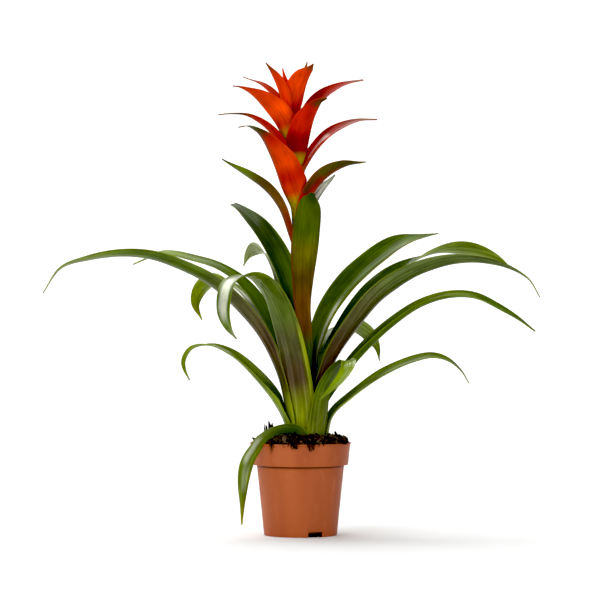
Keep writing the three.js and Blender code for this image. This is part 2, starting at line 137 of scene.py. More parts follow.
def joined(values: Sequence[float], share: float) -> float:
    """Joins values given at equal steps along a blade with a smooth line.

    Args:
        values: The values from base to tip.
        share: How far along the blade, from 0 to 1.

    Returns:
        The value there.
    """
    x = min(BELOW_ONE, max(0.0, share)) * (len(values) - 1)
    i = int(x)
    t = x - i
    a, b = values[i], values[i + 1]
    before = values[max(0, i - 1)]
    after = values[min(len(values) - 1, i + 2)]
    slope_in, slope_out = (b - before) / 2, (after - a) / 2
    return (
        (2 * t**3 - 3 * t**2 + 1) * a
        + (t**3 - 2 * t**2 + t) * slope_in
        + (3 * t**2 - 2 * t**3) * b
        + (t**3 - t**2) * slope_out
    )


def blended(tones: Sequence[Tone], share: float) -> Vector:
    """Blends tones given at equal steps along a blade.

    Args:
        tones: The tones from base to tip.
        share: How far along the blade, from 0 to 1.

    Returns:
        The linear colour there, with its alpha.
    """
    x = min(BELOW_ONE, max(0.0, share)) * (len(tones) - 1)
    i = int(x)
    first, second = (Vector(linear(tones[k].value)) for k in (i, i + 1))
    return first.lerp(second, smooth(x - i, 0, 1))


def add_node(
    tree: bpy.types.NodeTree,
    kind: str,
    settings: dict[str, Any] | None = None,
    inputs: dict[str | int, Any] | None = None,
) -> bpy.types.Node:
    """Adds a node to a tree.

    Args:
        tree: The material's or world's node tree.
        kind: The node's type name.
        settings: Properties of the node to set.
        inputs: Values, or other nodes' outputs to link, for its inputs.

    Returns:
        The new node.
    """
    made = tree.nodes.new(kind)
    for key, value in (settings or {}).items():
        setattr(made, key, value)
    for key, value in (inputs or {}).items():
        if isinstance(value, bpy.types.NodeSocket):
            tree.links.new(value, made.inputs[key])
        else:
            made.inputs[key].default_value = value
    return made


def new_material(
    name: str, shader_inputs: dict[str, Any]
) -> tuple[bpy.types.Material, bpy.types.Node]:
    """Makes a material with one principled shader.

    Args:
        name: The finish's name.
        shader_inputs: The shader's values that are the same all over.

    Returns:
        The material and its shader node.
    """
    made = bpy.data.materials.new(name)
    made.use_nodes = True
    tree = made.node_tree
    tree.nodes.clear()
    shader = add_node(tree, "ShaderNodeBsdfPrincipled", inputs=shader_inputs)
    add_node(tree, "ShaderNodeOutputMaterial", inputs={"Surface": shader.outputs["BSDF"]})
    return made, shader


# ---------------------------------------------------------------- finishes


@dataclass(frozen=True)
class BladeFinish:
    """The skin of a living leaf or bract, grown as wax over ribbed flesh.

    The eye sees fine veins lengthwise, a soft mottle, and a gloss that streaks with the veins.
    The tint attribute brings each blade's own colours and the blade attribute its millimetres
    across and along, so the veins run with the blade however it bends.
    """

    name: str
    vein_mm: float = 2.3  # real veins are about 0.8 mm apart, too fine to show at this size
    vein_run_mm: float = 160.0
    vein_contrast: float = 0.48
    mottle_mm: float = 12.0
    mottle_contrast: float = 0.4
    roughness: float = 0.42
    specular: float = 0.14
    coat: float = 0.3
    subsurface: float = 0.0
    relief_mm: float = 0.12
    margin: Tone = Tone.YELLOW_GREEN
    margin_strength: float = 0.45

    IOR: ClassVar[float] = 1.45  # typical of plant wax
    NOISE_RANGE: ClassVar[tuple[float, float]] = (0.36, 0.64)  # where most of a noise lies
    MARGIN_START: ClassVar[float] = 0.44  # from 0 in the middle of the blade to 0.5 at its margin

    @cached_property
    def material(self) -> bpy.types.Material:
        """The finish's material, made once."""
        made, shader = new_material(
            self.name,
            {
                "IOR": self.IOR,
                "Specular IOR Level": self.specular,
                "Coat Roughness": 0.15,
                "Subsurface Weight": self.subsurface,
                "Subsurface Radius": (0.004, 0.0015, 0.0006),  # red light goes deepest
                "Subsurface Scale": 0.6,
            },
        )
        tree = made.node_tree
        tint = add_node(tree, "ShaderNodeAttribute", {"attribute_name": "tint"})
        place = add_node(tree, "ShaderNodeAttribute", {"attribute_name": "blade"})
        # both noises are stretched along the blade, and the third number parts its two faces
        veins, mottle = (
            add_node(
                tree,
                "ShaderNodeTexNoise",
                inputs={
                    "Vector": add_node(
                        tree,
                        "ShaderNodeMapping",
                        inputs={"Vector": place.outputs["Vector"], "Scale": scale},
                    ).outputs["Vector"],
                    "Scale": 1.0,
                    "Detail": detail,
                },
            ).outputs["Fac"]
            for scale, detail in (
                ((1 / self.vein_mm, 1 / self.vein_run_mm, 3.0), 3.0),
                ((1 / self.mottle_mm, 0.4 / self.mottle_mm, 5.0), 2.0),
            )
        )
        low, high = self.NOISE_RANGE
        factors = [
            add_node(
                tree,
                "ShaderNodeMapRange",
                inputs={
                    "Value": value,
                    "From Min": low,
                    "From Max": high,
                    "To Min": 1 - contrast / 2,
                    "To Max": 1 + contrast / 2,
                },
            ).outputs["Result"]
            for value, contrast in ((veins, self.vein_contrast), (mottle, self.mottle_contrast))
        ]
        shade = add_node(
            tree, "ShaderNodeMath", {"operation": "MULTIPLY"}, {0: factors[0], 1: factors[1]}
        )
        skin = add_node(
            tree,
            "ShaderNodeVectorMath",
            {"operation": "SCALE"},
            {"Vector": tint.outputs["Color"], "Scale": shade.outputs[0]},
        )
        colour = add_node(
            tree,
            "ShaderNodeMix",
            {"data_type": "RGBA"},
            {
                "Factor": self._margin_share(tree),
                6: skin.outputs["Vector"],
                7: linear(self.margin.value),
            },
        )
        gloss = add_node(
            tree,
            "ShaderNodeMapRange",
            inputs={
                "Value": mottle,
                "From Min": 0.3,
                "From Max": 0.7,
                "To Min": self.roughness - 0.05,
                "To Max": self.roughness + 0.07,
            },
        )
        relief = add_node(
            tree,
            "ShaderNodeBump",
            inputs={"Strength": 0.55, "Distance": self.relief_mm * MM, "Height": veins},
        )
        if self.coat:  # the wax is thicker on some veins, so the gleam streaks
            shine = add_node(
                tree,
                "ShaderNodeMapRange",
                inputs={
                    "Value": veins,
                    "From Min": 0.4,
                    "From Max": 0.6,
                    "To Min": self.coat * 0.2,
                    "To Max": self.coat * 1.8,
                },
            )
            tree.links.new(shine.outputs["Result"], shader.inputs["Coat Weight"])
        tree.links.new(colour.outputs[2], shader.inputs["Base Color"])
        tree.links.new(gloss.outputs["Result"], shader.inputs["Roughness"])
        tree.links.new(relief.outputs["Normal"], shader.inputs["Normal"])
        return made

    def _margin_share(self, tree: bpy.types.NodeTree) -> bpy.types.NodeSocket:
        """Works out how strongly the line along both margins shows.

        Args:
            tree: The material's tree.

        Returns:
            The strength, from 0 over most of the blade to its full value at the margins.
        """
        uv = add_node(tree, "ShaderNodeUVMap", {"uv_map": "UVMap"})
        parts = add_node(tree, "ShaderNodeSeparateXYZ", inputs={"Vector": uv.outputs["UV"]})
        aside = add_node(
            tree,
            "ShaderNodeMath",
            {"operation": "SUBTRACT"},
            {0: parts.outputs["X"], 1: 0.5},
        )
        away = add_node(tree, "ShaderNodeMath", {"operation": "ABSOLUTE"}, {0: aside.outputs[0]})
        made = add_node(
            tree,
            "ShaderNodeMapRange",
            {"interpolation_type": "SMOOTHSTEP"},
            {
                "Value": away.outputs[0],
                "From Min": self.MARGIN_START,
                "From Max": 0.5,
                "To Max": self.margin_strength,
            },
        )
        return made.outputs["Result"]


@dataclass(frozen=True)
class PotFinish:
    """Polypropylene, injection-moulded and coloured like fired clay.

    The mould gives the eye an even satin with a very fine grain and faint upright bands where the
    melt flowed. Handling adds soft lighter scuffs. The shade in the groove under the collar is
    painted into the colour, as a darker band.
    """

    name: str = "moulded_polypropylene"
    body: str = "#AC5D38"
    worn: str = "#BE724B"
    shade: str = "#944D30"
    # the painted shade in the groove under the collar
    collar_shade: str = "#3E1E10"
    roughness: float = 0.46
    groove: tuple[float, float] = (80.2, 83.0)  # heights where painted shade dims the wall under the collar
    flow_mm: float = 34.0
    flow_run_mm: float = 400.0
    scuffs_per_metre: tuple[float, float, float] = (90.0, 90.0, 45.0)  # 11 mm wide, 22 mm high
    grain_mm: float = 0.7

    IOR: ClassVar[float] = 1.49  # typical of polypropylene

    @cached_property
    def material(self) -> bpy.types.Material:
        """The finish's material, made once."""
        made, shader = new_material(self.name, {"IOR": self.IOR, "Specular IOR Level": 0.2})
        tree = made.node_tree
        place = add_node(tree, "ShaderNodeTexCoord")
        flows, grains = (1 / (size * MM) for size in (self.flow_mm, self.grain_mm))
        flow, scuff, grain = (
            add_node(
                tree,
                "ShaderNodeTexNoise",
                inputs={
                    "Vector": add_node(
                        tree,
                        "ShaderNodeMapping",
                        inputs={"Vector": place.outputs["Object"], "Scale": scale},
                    ).outputs["Vector"],
                    "Scale": 1.0,
                    "Detail": detail,
                },
            ).outputs["Fac"]
            for scale, detail in (
                ((flows, flows, 1 / (self.flow_run_mm * MM)), 1.5),
                (self.scuffs_per_metre, 5.0),
                ((grains, grains, grains), 2.0),
            )
        )
        colour: Any = linear(self.body)
        for value, start, full, most, tone in (
            (flow, 0.35, 0.7, 0.75, self.shade),
            (scuff, 0.55, 0.8, 0.35, self.worn),
        ):
            share = add_node(
                tree,
                "ShaderNodeMapRange",
                inputs={"Value": value, "From Min": start, "From Max": full, "To Max": most},
            )
            colour = add_node(
                tree,
                "ShaderNodeMix",
                {"data_type": "RGBA"},
                {"Factor": share.outputs["Result"], 6: colour, 7: linear(tone)},
            ).outputs[2]
        # the shade in the groove under the collar, painted in as a darker band
        colour = add_node(
            tree,
            "ShaderNodeMix",
            {"data_type": "RGBA"},
            {"Factor": self._collar_shade_share(tree, place), 6: colour, 7: linear(self.collar_shade)},
        )
        gloss = add_node(
            tree,
            "ShaderNodeMapRange",
            inputs={
                "Value": scuff,
                "From Min": 0.3,
                "From Max": 0.75,
                "To Min": self.roughness - 0.04,
                "To Max": self.roughness + 0.12,
            },
        )
        relief = add_node(
            tree,
            "ShaderNodeBump",
            inputs={"Strength": 0.15, "Distance": 0.1 * MM, "Height": grain},
        )
        tree.links.new(colour.outputs[2], shader.inputs["Base Color"])
        tree.links.new(gloss.outputs["Result"], shader.inputs["Roughness"])
        tree.links.new(relief.outputs["Normal"], shader.inputs["Normal"])
        return made

    def _collar_shade_share(
        self, tree: bpy.types.NodeTree, place: bpy.types.Node
    ) -> bpy.types.NodeSocket:
        """Works out how dark the painted shade is, which deepens up to the collar and stops there.

        Args:
            tree: The material's tree.
            place: The node that gives the place on the pot.

        Returns:
            The painted shade's strength.
        """
        parts = add_node(tree, "ShaderNodeSeparateXYZ", inputs={"Vector": place.outputs["Object"]})
        low, high = (height * MM for height in self.groove)
        rising = add_node(
            tree,
            "ShaderNodeMapRange",
            inputs={
                "Value": parts.outputs["Z"],
                "From Min": low,
                "From Max": high,
                "To Max": 0.92,
            },
        )
        below = add_node(
            tree,
            "ShaderNodeMath",
            {"operation": "LESS_THAN"},
            {0: parts.outputs["Z"], 1: high + 0.2 * MM},
        )
        made = add_node(
            tree,
            "ShaderNodeMath",
            {"operation": "MULTIPLY"},
            {0: rising.outputs["Result"], 1: below.outputs[0]},
        )
        return made.outputs[0]


@dataclass(frozen=True)
class GrainFinish:
    """A natural surface that is mottled in fine grains between a dark and a light colour.

    The grains stand out a little too, so light breaks up on them. It serves peat, bark, roots and
    the stalk, which all have about the IOR of 1.5 that the shader starts from.
    """

    name: str
    dark: str = "#1A140E"
    light: str = "#524232"
    grain_mm: float = 3.2
    reads_tint: bool = False  # whether each piece of it has a colour of its own
    roughness: float = 0.92

    TINT_STRENGTH: ClassVar[float] = 0.7

    @cached_property
    def material(self) -> bpy.types.Material:
        """The finish's material, made once."""
        made, shader = new_material(self.name, {"Specular IOR Level": 0.3})
        tree = made.node_tree
        place = add_node(tree, "ShaderNodeTexCoord")
        grains = add_node(
            tree,
            "ShaderNodeTexNoise",
            inputs={
                "Vector": place.outputs["Object"],
                "Scale": 1 / (self.grain_mm * MM),
                "Detail": 6.0,
                "Roughness": 0.65,
            },
        )
        spread = add_node(
            tree,
            "ShaderNodeMapRange",
            inputs={"Value": grains.outputs["Fac"], "From Min": 0.38, "From Max": 0.7},
        )
        colour = add_node(
            tree,
            "ShaderNodeMix",
            {"data_type": "RGBA"},
            {
                "Factor": spread.outputs["Result"],
                6: linear(self.dark),
                7: linear(self.light),
            },
        )
        if self.reads_tint:
            tint = add_node(tree, "ShaderNodeAttribute", {"attribute_name": "tint"})
            colour = add_node(
                tree,
                "ShaderNodeMix",
                {"data_type": "RGBA"},
                {"Factor": self.TINT_STRENGTH, 6: colour.outputs[2], 7: tint.outputs["Color"]},
            )
        relief = add_node(
            tree,
            "ShaderNodeBump",
            inputs={"Strength": 0.9, "Distance": 0.8 * MM, "Height": grains.outputs["Fac"]},
        )
        gloss = add_node(
            tree,
            "ShaderNodeMapRange",
            inputs={
                "Value": grains.outputs["Fac"],
                "To Min": self.roughness - 0.2,
                "To Max": self.roughness + 0.05,
            },
        )
        tree.links.new(colour.outputs[2], shader.inputs["Base Color"])
        tree.links.new(gloss.outputs["Result"], shader.inputs["Roughness"])
        tree.links.new(relief.outputs["Normal"], shader.inputs["Normal"])
        return made


# A strap leaf, as it grew: whole wax, which gleams in streaks between the veins.
LEAF_SKIN = BladeFinish("waxy_leaf_skin")
# The same leaf with its wax worn by weather: hardly a gleam, so the green looks deeper.
DULL_LEAF_SKIN = replace(LEAF_SKIN, name="dull_leaf_skin", coat=0.1, specular=0.08)
# A coloured bract, as it grew: finer veins under a thin wax, so it is satin and glows a little.
BRACT_SKIN = BladeFinish(
    "waxy_bract_skin",
    vein_mm=1.6,  # drawn about twice as coarse as real ones
    vein_run_mm=80.0,
    vein_contrast=0.22,
    mottle_contrast=0.34,
    roughness=0.5,
    specular=0.08,
    coat=0.0,
    subsurface=0.05,
    relief_mm=0.08,
    margin=Tone.ORANGE,
    margin_strength=0.25,
)
# The same bract under thicker wax: a soft gleam along the blade.
SHINY_BRACT_SKIN = replace(BRACT_SKIN, name="glossy_bract_skin", coat=0.12)
# A green bract, as it grew: satin like the coloured ones, with rusty margins.
GREEN_BRACT_SKIN = BladeFinish(
    "waxy_green_bract_skin",
    vein_mm=1.8,
    vein_contrast=0.4,
    specular=0.18,
    coat=0.0,
    margin=Tone.RUST,
)
# A flower stalk's skin, as it grew: smooth satin green with rusty flecks.
STALK_SKIN = GrainFinish("green_stalk_skin", dark="#4A5A1E", light="#7A4A22", roughness=0.5)
# Injection-moulded polypropylene, as its class says.
POT_PLASTIC = PotFinish()
# Peat, milled and moist: nearly black and matt, with grains of lighter brown.
PEAT = GrainFinish("moist_peat")
# Bark, shredded: matt crumbs and chips, each of its own brown.
BARK = GrainFinish("shredded_bark", light="#503C28", reads_tint=True)
# Root fibres, grown and dried: matt dark brown threads.
FIBRE = GrainFinish("root_fibre", dark="#1A110B", light="#4E3827")


# ---------------------------------------------------------------- shared shape code


class Spine:
    """A smooth curve through points in millimetres, measured along its own length."""

    NEAR: ClassVar[float] = 0.002  # a direction is taken over this share of the length each way

    def __init__(self, points: Sequence[Vector], fine: int = 40) -> None:
        """Samples the curve.

        Args:
            points: The points that it passes through.
            fine: Samples between two points.
        """
        ends = [points[0] * 2 - points[1], *points, points[-1] * 2 - points[-2]]
        self.samples = [
            self._between(ends[i : i + 4], j / fine)
            for i in range(len(points) - 1)
            for j in range(fine)
        ]
        self.samples.append(points[-1].copy())
        self.gone = [0.0]
        for a, b in zip(self.samples, self.samples[1:]):
            self.gone.append(self.gone[-1] + (b - a).length)

    @staticmethod
    def _between(points: Sequence[Vector], t: float) -> Vector:
        """Finds a point of the centripetal curve between the middle two of four points.

        Args:
            points: The four points.
            t: The share of the way from the second to the third.

        Returns:
            The curve's point there.
        """
        p0, p1, p2, p3 = points
        d0, d1, d2 = ((a - b).length ** 0.5 for a, b in ((p0, p1), (p1, p2), (p2, p3)))
        t1 = ((p1 - p0) / d0 - (p2 - p0) / (d0 + d1) + (p2 - p1) / d1) * d1
        t2 = ((p2 - p1) / d1 - (p3 - p1) / (d1 + d2) + (p3 - p2) / d2) * d1
        return (
            p1
            + t1 * t
            + (p2 * 3 - p1 * 3 - t1 * 2 - t2) * t**2
            + (p1 * 2 - p2 * 2 + t1 + t2) * t**3
        )

    @property
    def length(self) -> float:
        """The curve's length."""
        return self.gone[-1]

    def point_at(self, share: float) -> Vector:
        """Finds a point of the curve.

        Args:
            share: How far along its length, from 0 to 1.

        Returns:
            The point there, in millimetres.
        """
        want = min(1.0, max(0.0, share)) * self.length
        i = min(len(self.gone) - 2, max(0, bisect_right(self.gone, want) - 1))
        step = self.gone[i + 1] - self.gone[i]
        return self.samples[i].lerp(self.samples[i + 1], (want - self.gone[i]) / step)

    def tangent_at(self, share: float) -> Vector:
        """Returns the direction a share of the length along."""
        return (self.point_at(share + self.NEAR) - self.point_at(share - self.NEAR)).normalized()


def around(azimuth: float, reach: float, height: float, centre: Vector) -> Vector:
    """Returns the point at an azimuth in degrees, a reach and a height from a centre."""
    turn = math.radians(azimuth)
    return centre + Vector((reach * math.cos(turn), reach * math.sin(turn), height))


def finish_mesh(
    bm: bmesh.types.BMesh, name: str, material: bpy.types.Material, sharp_degrees: float = 40
) -> bpy.types.Object:
    """Turns a bmesh into a finished object at the origin.

    Args:
        bm: The mesh, closed, which is freed.
        name: The piece's name.
        material: Its finish.
        sharp_degrees: Edges that bend more than this stay crisp.

    Returns:
        The object, linked to the scene.
    """
    if bm.calc_volume(signed=True) < 0:
        bmesh.ops.reverse_faces(bm, faces=bm.faces[:])
    mesh = bpy.data.meshes.new(name)
    bm.to_mesh(mesh)
    bm.free()
    mesh.materials.append(material)
    mesh.polygons.foreach_set("use_smooth", [True] * len(mesh.polygons))
    mesh.set_sharp_from_angle(angle=math.radians(sharp_degrees))
    made = bpy.data.objects.new(name, mesh)
    bpy.context.scene.collection.objects.link(made)
    return made


def bake_modifiers(piece: bpy.types.Object) -> None:
    """Puts the result of an object's modifiers into its mesh and removes them.

    Args:
        piece: The object.
    """
    evaluated = piece.evaluated_get(bpy.context.evaluated_depsgraph_get())
    mesh = bpy.data.meshes.new_from_object(evaluated)
    old, piece.data = piece.data, mesh
    piece.modifiers.clear()
    bpy.data.meshes.remove(old)
    mesh.name = piece.name


def swept_strands(
    name: str,
    strands: Sequence[tuple[Sequence[Vector], Sequence[float]]],
    material: bpy.types.Material,
) -> bpy.types.Object:
    """Makes round strands along lines, as one mesh.

    Args:
        name: The piece's name.
        strands: For each strand, its points and its radius at each of them, in millimetres.
        material: Its finish.

    Returns:
        The object, linked to the scene.
    """
    curve = bpy.data.curves.new(name, "CURVE")
    curve.dimensions = "3D"
    curve.bevel_depth = MM
    curve.bevel_resolution = 1 if len(strands) > 1 else 6  # few facets do for hair-thin strands
    curve.use_fill_caps = True
    for points, radii in strands:
        strand = curve.splines.new("POLY")
        strand.points.add(len(points) - 1)
        for knot, point, radius in zip(strand.points, points, radii):
            knot.co = (*(point * MM), 1.0)
            knot.radius = radius
    shown = bpy.data.objects.new(name, curve)
    bpy.context.scene.collection.objects.link(shown)
    bpy.context.view_layer.update()
    mesh = bpy.data.meshes.new_from_object(
        shown.evaluated_get(bpy.context.evaluated_depsgraph_get())
    )
    bpy.data.objects.remove(shown)
    bpy.data.curves.remove(curve)
    mesh.name = name
    mesh.materials.clear()
    mesh.materials.append(material)
    made = bpy.data.objects.new(name, mesh)
    bpy.context.scene.collection.objects.link(made)
    return made


# ---------------------------------------------------------------- blades


@dataclass(frozen=True)
class Patch:
    """A long patch of another tone on a blade, such as a pale margin or a painted highlight."""

    tone: Tone
    start: float  # as shares of the blade's length
    end: float
    middle: float = 0.5  # across the blade, from 0 at one margin to 1 at the other
    width: float = 0.5  # as a share of the blade's width
    strength: float = 1.0

    SIDE_FADE: ClassVar[tuple[float, float]] = (0.45, 1.25)  # 0 in its middle and 1 at its side
    END_FADE: ClassVar[float] = 0.03  # to both sides of each end, as a share of the length

    def share_at(self, share: float, across: float) -> float:
        """Finds how strongly the patch shows at a place on the blade.

        Args:
            share: How far along the blade, from 0 to 1.
            across: From 0 at one margin to 1 at the other.

        Returns:
            The strength, from 0 to 1.
        """
        aside = abs(across - self.middle) / (self.width / 2)
        return (
            self.strength
            * (1 - smooth(aside, *self.SIDE_FADE))
            * smooth(share, self.start - self.END_FADE, self.start + self.END_FADE)
            * (1 - smooth(share, self.end - self.END_FADE, self.end + self.END_FADE))
        )


@dataclass(frozen=True)
class Section:
    """One cross-section of a blade, in millimetres."""

    share: float  # of the blade's length
    point: Vector  # on the midrib
    side: Vector  # the direction across the blade
    up: Vector  # the direction out of the upper face
    width: float
    hollow: float  # the radius that the section bends round
    free: float  # from 0 where the base clasps the stem to 1 where the blade is free


@dataclass(frozen=True, kw_only=True)
class Blade:
    """A thin blade along a curved midrib, whose base clasps the stem that it grows from.

    Widths, rolls and tones are given at equal steps from base to tip.
    """

    name: str
    azimuth: float
    path: tuple[tuple[float, ...], ...]  # reach, height and, where it differs, azimuth
    widths: tuple[float, ...]
    rolls: tuple[float, ...] = (0, 0)  # degrees about the midrib
    channel: tuple[float, float] = (15, 24)  # radius of its hollow, past the clasp and at the tip
    upper: tuple[Tone, ...]
    under: tuple[Tone, ...]
    patches: tuple[Patch, ...] = ()
    upper_patches: tuple[Patch, ...] = ()
    skin: BladeFinish = LEAF_SKIN
    slot: Slot = Slot.LEAF_GREEN

    ALONG: ClassVar[int] = 100
    ACROSS: ClassVar[int] = 14
    THICKNESS: ClassVar[float] = 0.9
    TIP_WIDTH: ClassVar[float] = 1.6
    TIP_THICKNESS: ClassVar[float] = 1.1  # the dry tip rolls up on itself
    ROLL_START: ClassVar[float] = 0.84  # share of the length at which the tip starts to roll
    OPENING: ClassVar[float] = 0.15  # share of the length over which the base's clasp opens
    FREEING: ClassVar[float] = 0.3  # share of the length over which the margins start to swing
    WAVE: ClassVar[float] = 0.9  # how far the margins swing to and fro, in millimetres
    WAVE_PITCH: ClassVar[float] = 34.0
    FULL_WAVE_WIDTH: ClassVar[float] = 16.0  # a narrower blade swings less
    MARGIN_THINNING: ClassVar[float] = 0.55  # share of the thickness that is gone at the margin

    @property
    def centre(self) -> Vector:
        """The point on the stem's axis at the height where the blade starts."""
        raise NotImplementedError

    @property
    def clasp_points(self) -> list[Vector]:
        """The points of the midrib that lie against the stem."""
        raise NotImplementedError

    @property
    def clasp_length(self) -> float:
        """How far the base hugs the stem."""
        raise NotImplementedError

    @property
    def base_azimuth(self) -> float:
        """The azimuth at which the base is rooted."""
        return self.azimuth

    def width_limit(self, reach: float) -> float:
        """Returns how wide the blade may be at a reach from the stem's axis."""
        raise NotImplementedError

    @cached_property
    def spine(self) -> Spine:
        """The midrib."""
        free = [
            around(p[2] if len(p) > 2 else self.azimuth, p[0], p[1], self.centre)
            for p in self.path
        ]
        return Spine([*self.clasp_points, *free])

    def reach_at(self, share: float) -> float:
        """Returns how far from the stem's axis the midrib is."""
        away = self.spine.point_at(share) - self.centre
        return math.hypot(away.x, away.y)

    def sections(self) -> list[Section]:
        """Works out the blade's cross-sections.

        Returns:
            The cross-sections from base to tip, at equal steps.
        """
        turn = math.radians(self.base_azimuth)
        across = Vector((-math.sin(turn), math.cos(turn), 0))
        last = self.spine.tangent_at(0)
        clasped = self.clasp_length / self.spine.length
        made = []
        for i in range(self.ALONG + 1):
            share = i / self.ALONG
            tangent = self.spine.tangent_at(share)
            across.rotate(last.rotation_difference(tangent))
            across = (across - tangent * across.dot(tangent)).normalized()
            last = tangent
            side = Matrix.Rotation(math.radians(joined(self.rolls, share)), 3, tangent) @ across
            reach = self.reach_at(share)
            opened = smooth(share, clasped, clasped + self.OPENING)
            width = min(joined(self.widths, share), self.width_limit(reach))
            made.append(
                Section(
                    share=share,
                    point=self.spine.point_at(share),
                    side=side,
                    up=tangent.cross(side),
                    width=max(self.TIP_WIDTH, width),
                    hollow=mix(reach, mix(*self.channel, share), opened),
                    free=smooth(share, clasped, clasped + self.FREEING),
                )
            )
        return made

    def place(self, section: Section, across: float, face: int) -> Vector:
        """Finds a point of the blade's surface.

        Args:
            section: The cross-section.
            across: From 0 at one margin to 1 at the other.
            face: 1 for the upper face and -1 for the underside.

        Returns:
            The point, in metres.
        """
        angle = (across - 0.5) * section.width / section.hollow
        normal = section.up * math.cos(angle) - section.side * math.sin(angle)
        edge = abs(2 * across - 1)
        half = mix(
            self.THICKNESS / 2 * (1 - self.MARGIN_THINNING * edge**3),
            self.TIP_THICKNESS / 2,
            smooth(section.share, self.ROLL_START, 1),
        )
        point = (
            section.point
            + section.side * section.hollow * math.sin(angle)
            + section.up * section.hollow * (1 - math.cos(angle))
            + normal * (face * half + self.wave(section, across))
        )
        return point * MM

    def wave(self, section: Section, across: float) -> float:
        """Finds how far a place swings out of the blade, which grows towards both margins.

        Args:
            section: The cross-section.
            across: From 0 at one margin to 1 at the other.

        Returns:
            The distance in millimetres.
        """
        along = section.share * self.spine.length
        own = float(sum(map(ord, self.name)))  # so no two blades swing alike
        apart = round(across) * 7.0  # the two margins swing on their own
        swing = noise.noise(Vector((along / self.WAVE_PITCH, apart, own)))
        slim = min(1.0, section.width / self.FULL_WAVE_WIDTH)
        return self.WAVE * swing * (2 * across - 1) ** 2 * section.free * slim

    def tint(self, share: float, across: float, face: int) -> Vector:
        """Finds the blade's colour at a place.

        Args:
            share: How far along the blade, from 0 to 1.
            across: From 0 at one margin to 1 at the other.
            face: 1 for the upper face and -1 for the underside.

        Returns:
            The linear colour, with its alpha.
        """
        colour = blended(self.upper if face > 0 else self.under, share)
        for patch in (*self.patches, *(self.upper_patches if face > 0 else ())):
            colour = colour.lerp(Vector(linear(patch.tone.value)), patch.share_at(share, across))
        return colour

    def build(self) -> bpy.types.Object:
        """Models and dresses the blade and puts it in its CAD node's place.

        Returns:
            The finished piece.
        """
        bm = bmesh.new()
        bm.loops.layers.uv.new("UVMap")
        bmesh.ops.create_grid(
            bm, x_segments=self.ACROSS, y_segments=self.ALONG, size=0.5, calc_uvs=True
        )
        blade = bm.verts.layers.float_vector.new("blade")
        tint = bm.verts.layers.float_color.new("tint")
        for vertex in bm.verts:
            vertex[blade] = (vertex.co.x + 0.5, vertex.co.y + 0.5, 1.0)
        walls = bmesh.ops.extrude_face_region(bm, geom=bm.faces[:])
        for vertex in (v for v in walls["geom"] if isinstance(v, bmesh.types.BMVert)):
            vertex[blade] = (*vertex[blade][:2], -1.0)
        bmesh.ops.recalc_face_normals(bm, faces=bm.faces[:])
        sections = self.sections()
        for vertex in bm.verts:
            across, share, face = vertex[blade]
            section = sections[round(share * self.ALONG)]
            vertex.co = self.place(section, across, round(face))
            vertex[tint] = self.tint(share, across, round(face))
            vertex[blade] = (
                (across - 0.5) * section.width,
                share * self.spine.length,
                face,
            )
        piece = finish_mesh(bm, f"{self.name}_skin", self.skin.material)
        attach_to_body(piece, BODY)
        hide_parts(self.name)
        return piece


@dataclass(frozen=True, kw_only=True)
class StrapLeaf(Blade):
    """One leaf of the rosette."""

    tier: int  # counts leaf bases outwards from the stem
    clasp: float  # how far the base hugs the stem
    wrap: float  # the most radians that it may cover there
    root: float | None = None  # the base's azimuth, where the blade turns away from it

    STEM_X: ClassVar[float] = 7
    BOTTOM: ClassVar[float] = 100
    INNER_RADIUS: ClassVar[float] = 8.4
    TIER_PITCH: ClassVar[float] = 1.6
    FLARE: ClassVar[float] = 0.035  # how much the innermost base leans out
    TIER_FLARE: ClassVar[float] = 0.0125  # and how much more each tier does

    @property
    def centre(self) -> Vector:
        """The plant's axis, at the height from which the path's heights count."""
        return Vector((self.STEM_X, 0, 0))

    @property
    def base_azimuth(self) -> float:
        """The azimuth at which the base is rooted."""
        return self.azimuth if self.root is None else self.root

    @property
    def clasp_points(self) -> list[Vector]:
        """The points of the midrib that lie against the stem."""
        radius = self.INNER_RADIUS + self.TIER_PITCH * self.tier
        flare = self.FLARE + self.TIER_FLARE * self.tier
        return [
            around(
                self.base_azimuth,
                radius + flare * self.clasp * x,
                self.BOTTOM + self.clasp * x,
                self.centre,
            )
            for x in (0, 0.5, 1)
        ]

    @property
    def clasp_length(self) -> float:
        """How far the base hugs the stem."""
        return self.clasp

    def width_limit(self, reach: float) -> float:
        """Returns how wide the base may be for the radians that it covers."""
        return self.wrap * reach


# the stalk's middle line, from the foot of the stem to the heart of the flower head
STALK = Spine(
    [
        Vector(p)
        for p in (
            (7, 0, 100), (9, 0, 180), (3, 0, 270), (-1, 0, 335),
            (-5, 0, 390), (-6, 0, 435), (-9, 0, 475), (-12, 0, 508),
        )
    ]
)


def stalk_at(height: float) -> Vector:
    """Returns the flower stalk's centre at a height in millimetres."""
    return min(STALK.samples, key=lambda p: abs(p.z - height)).copy()


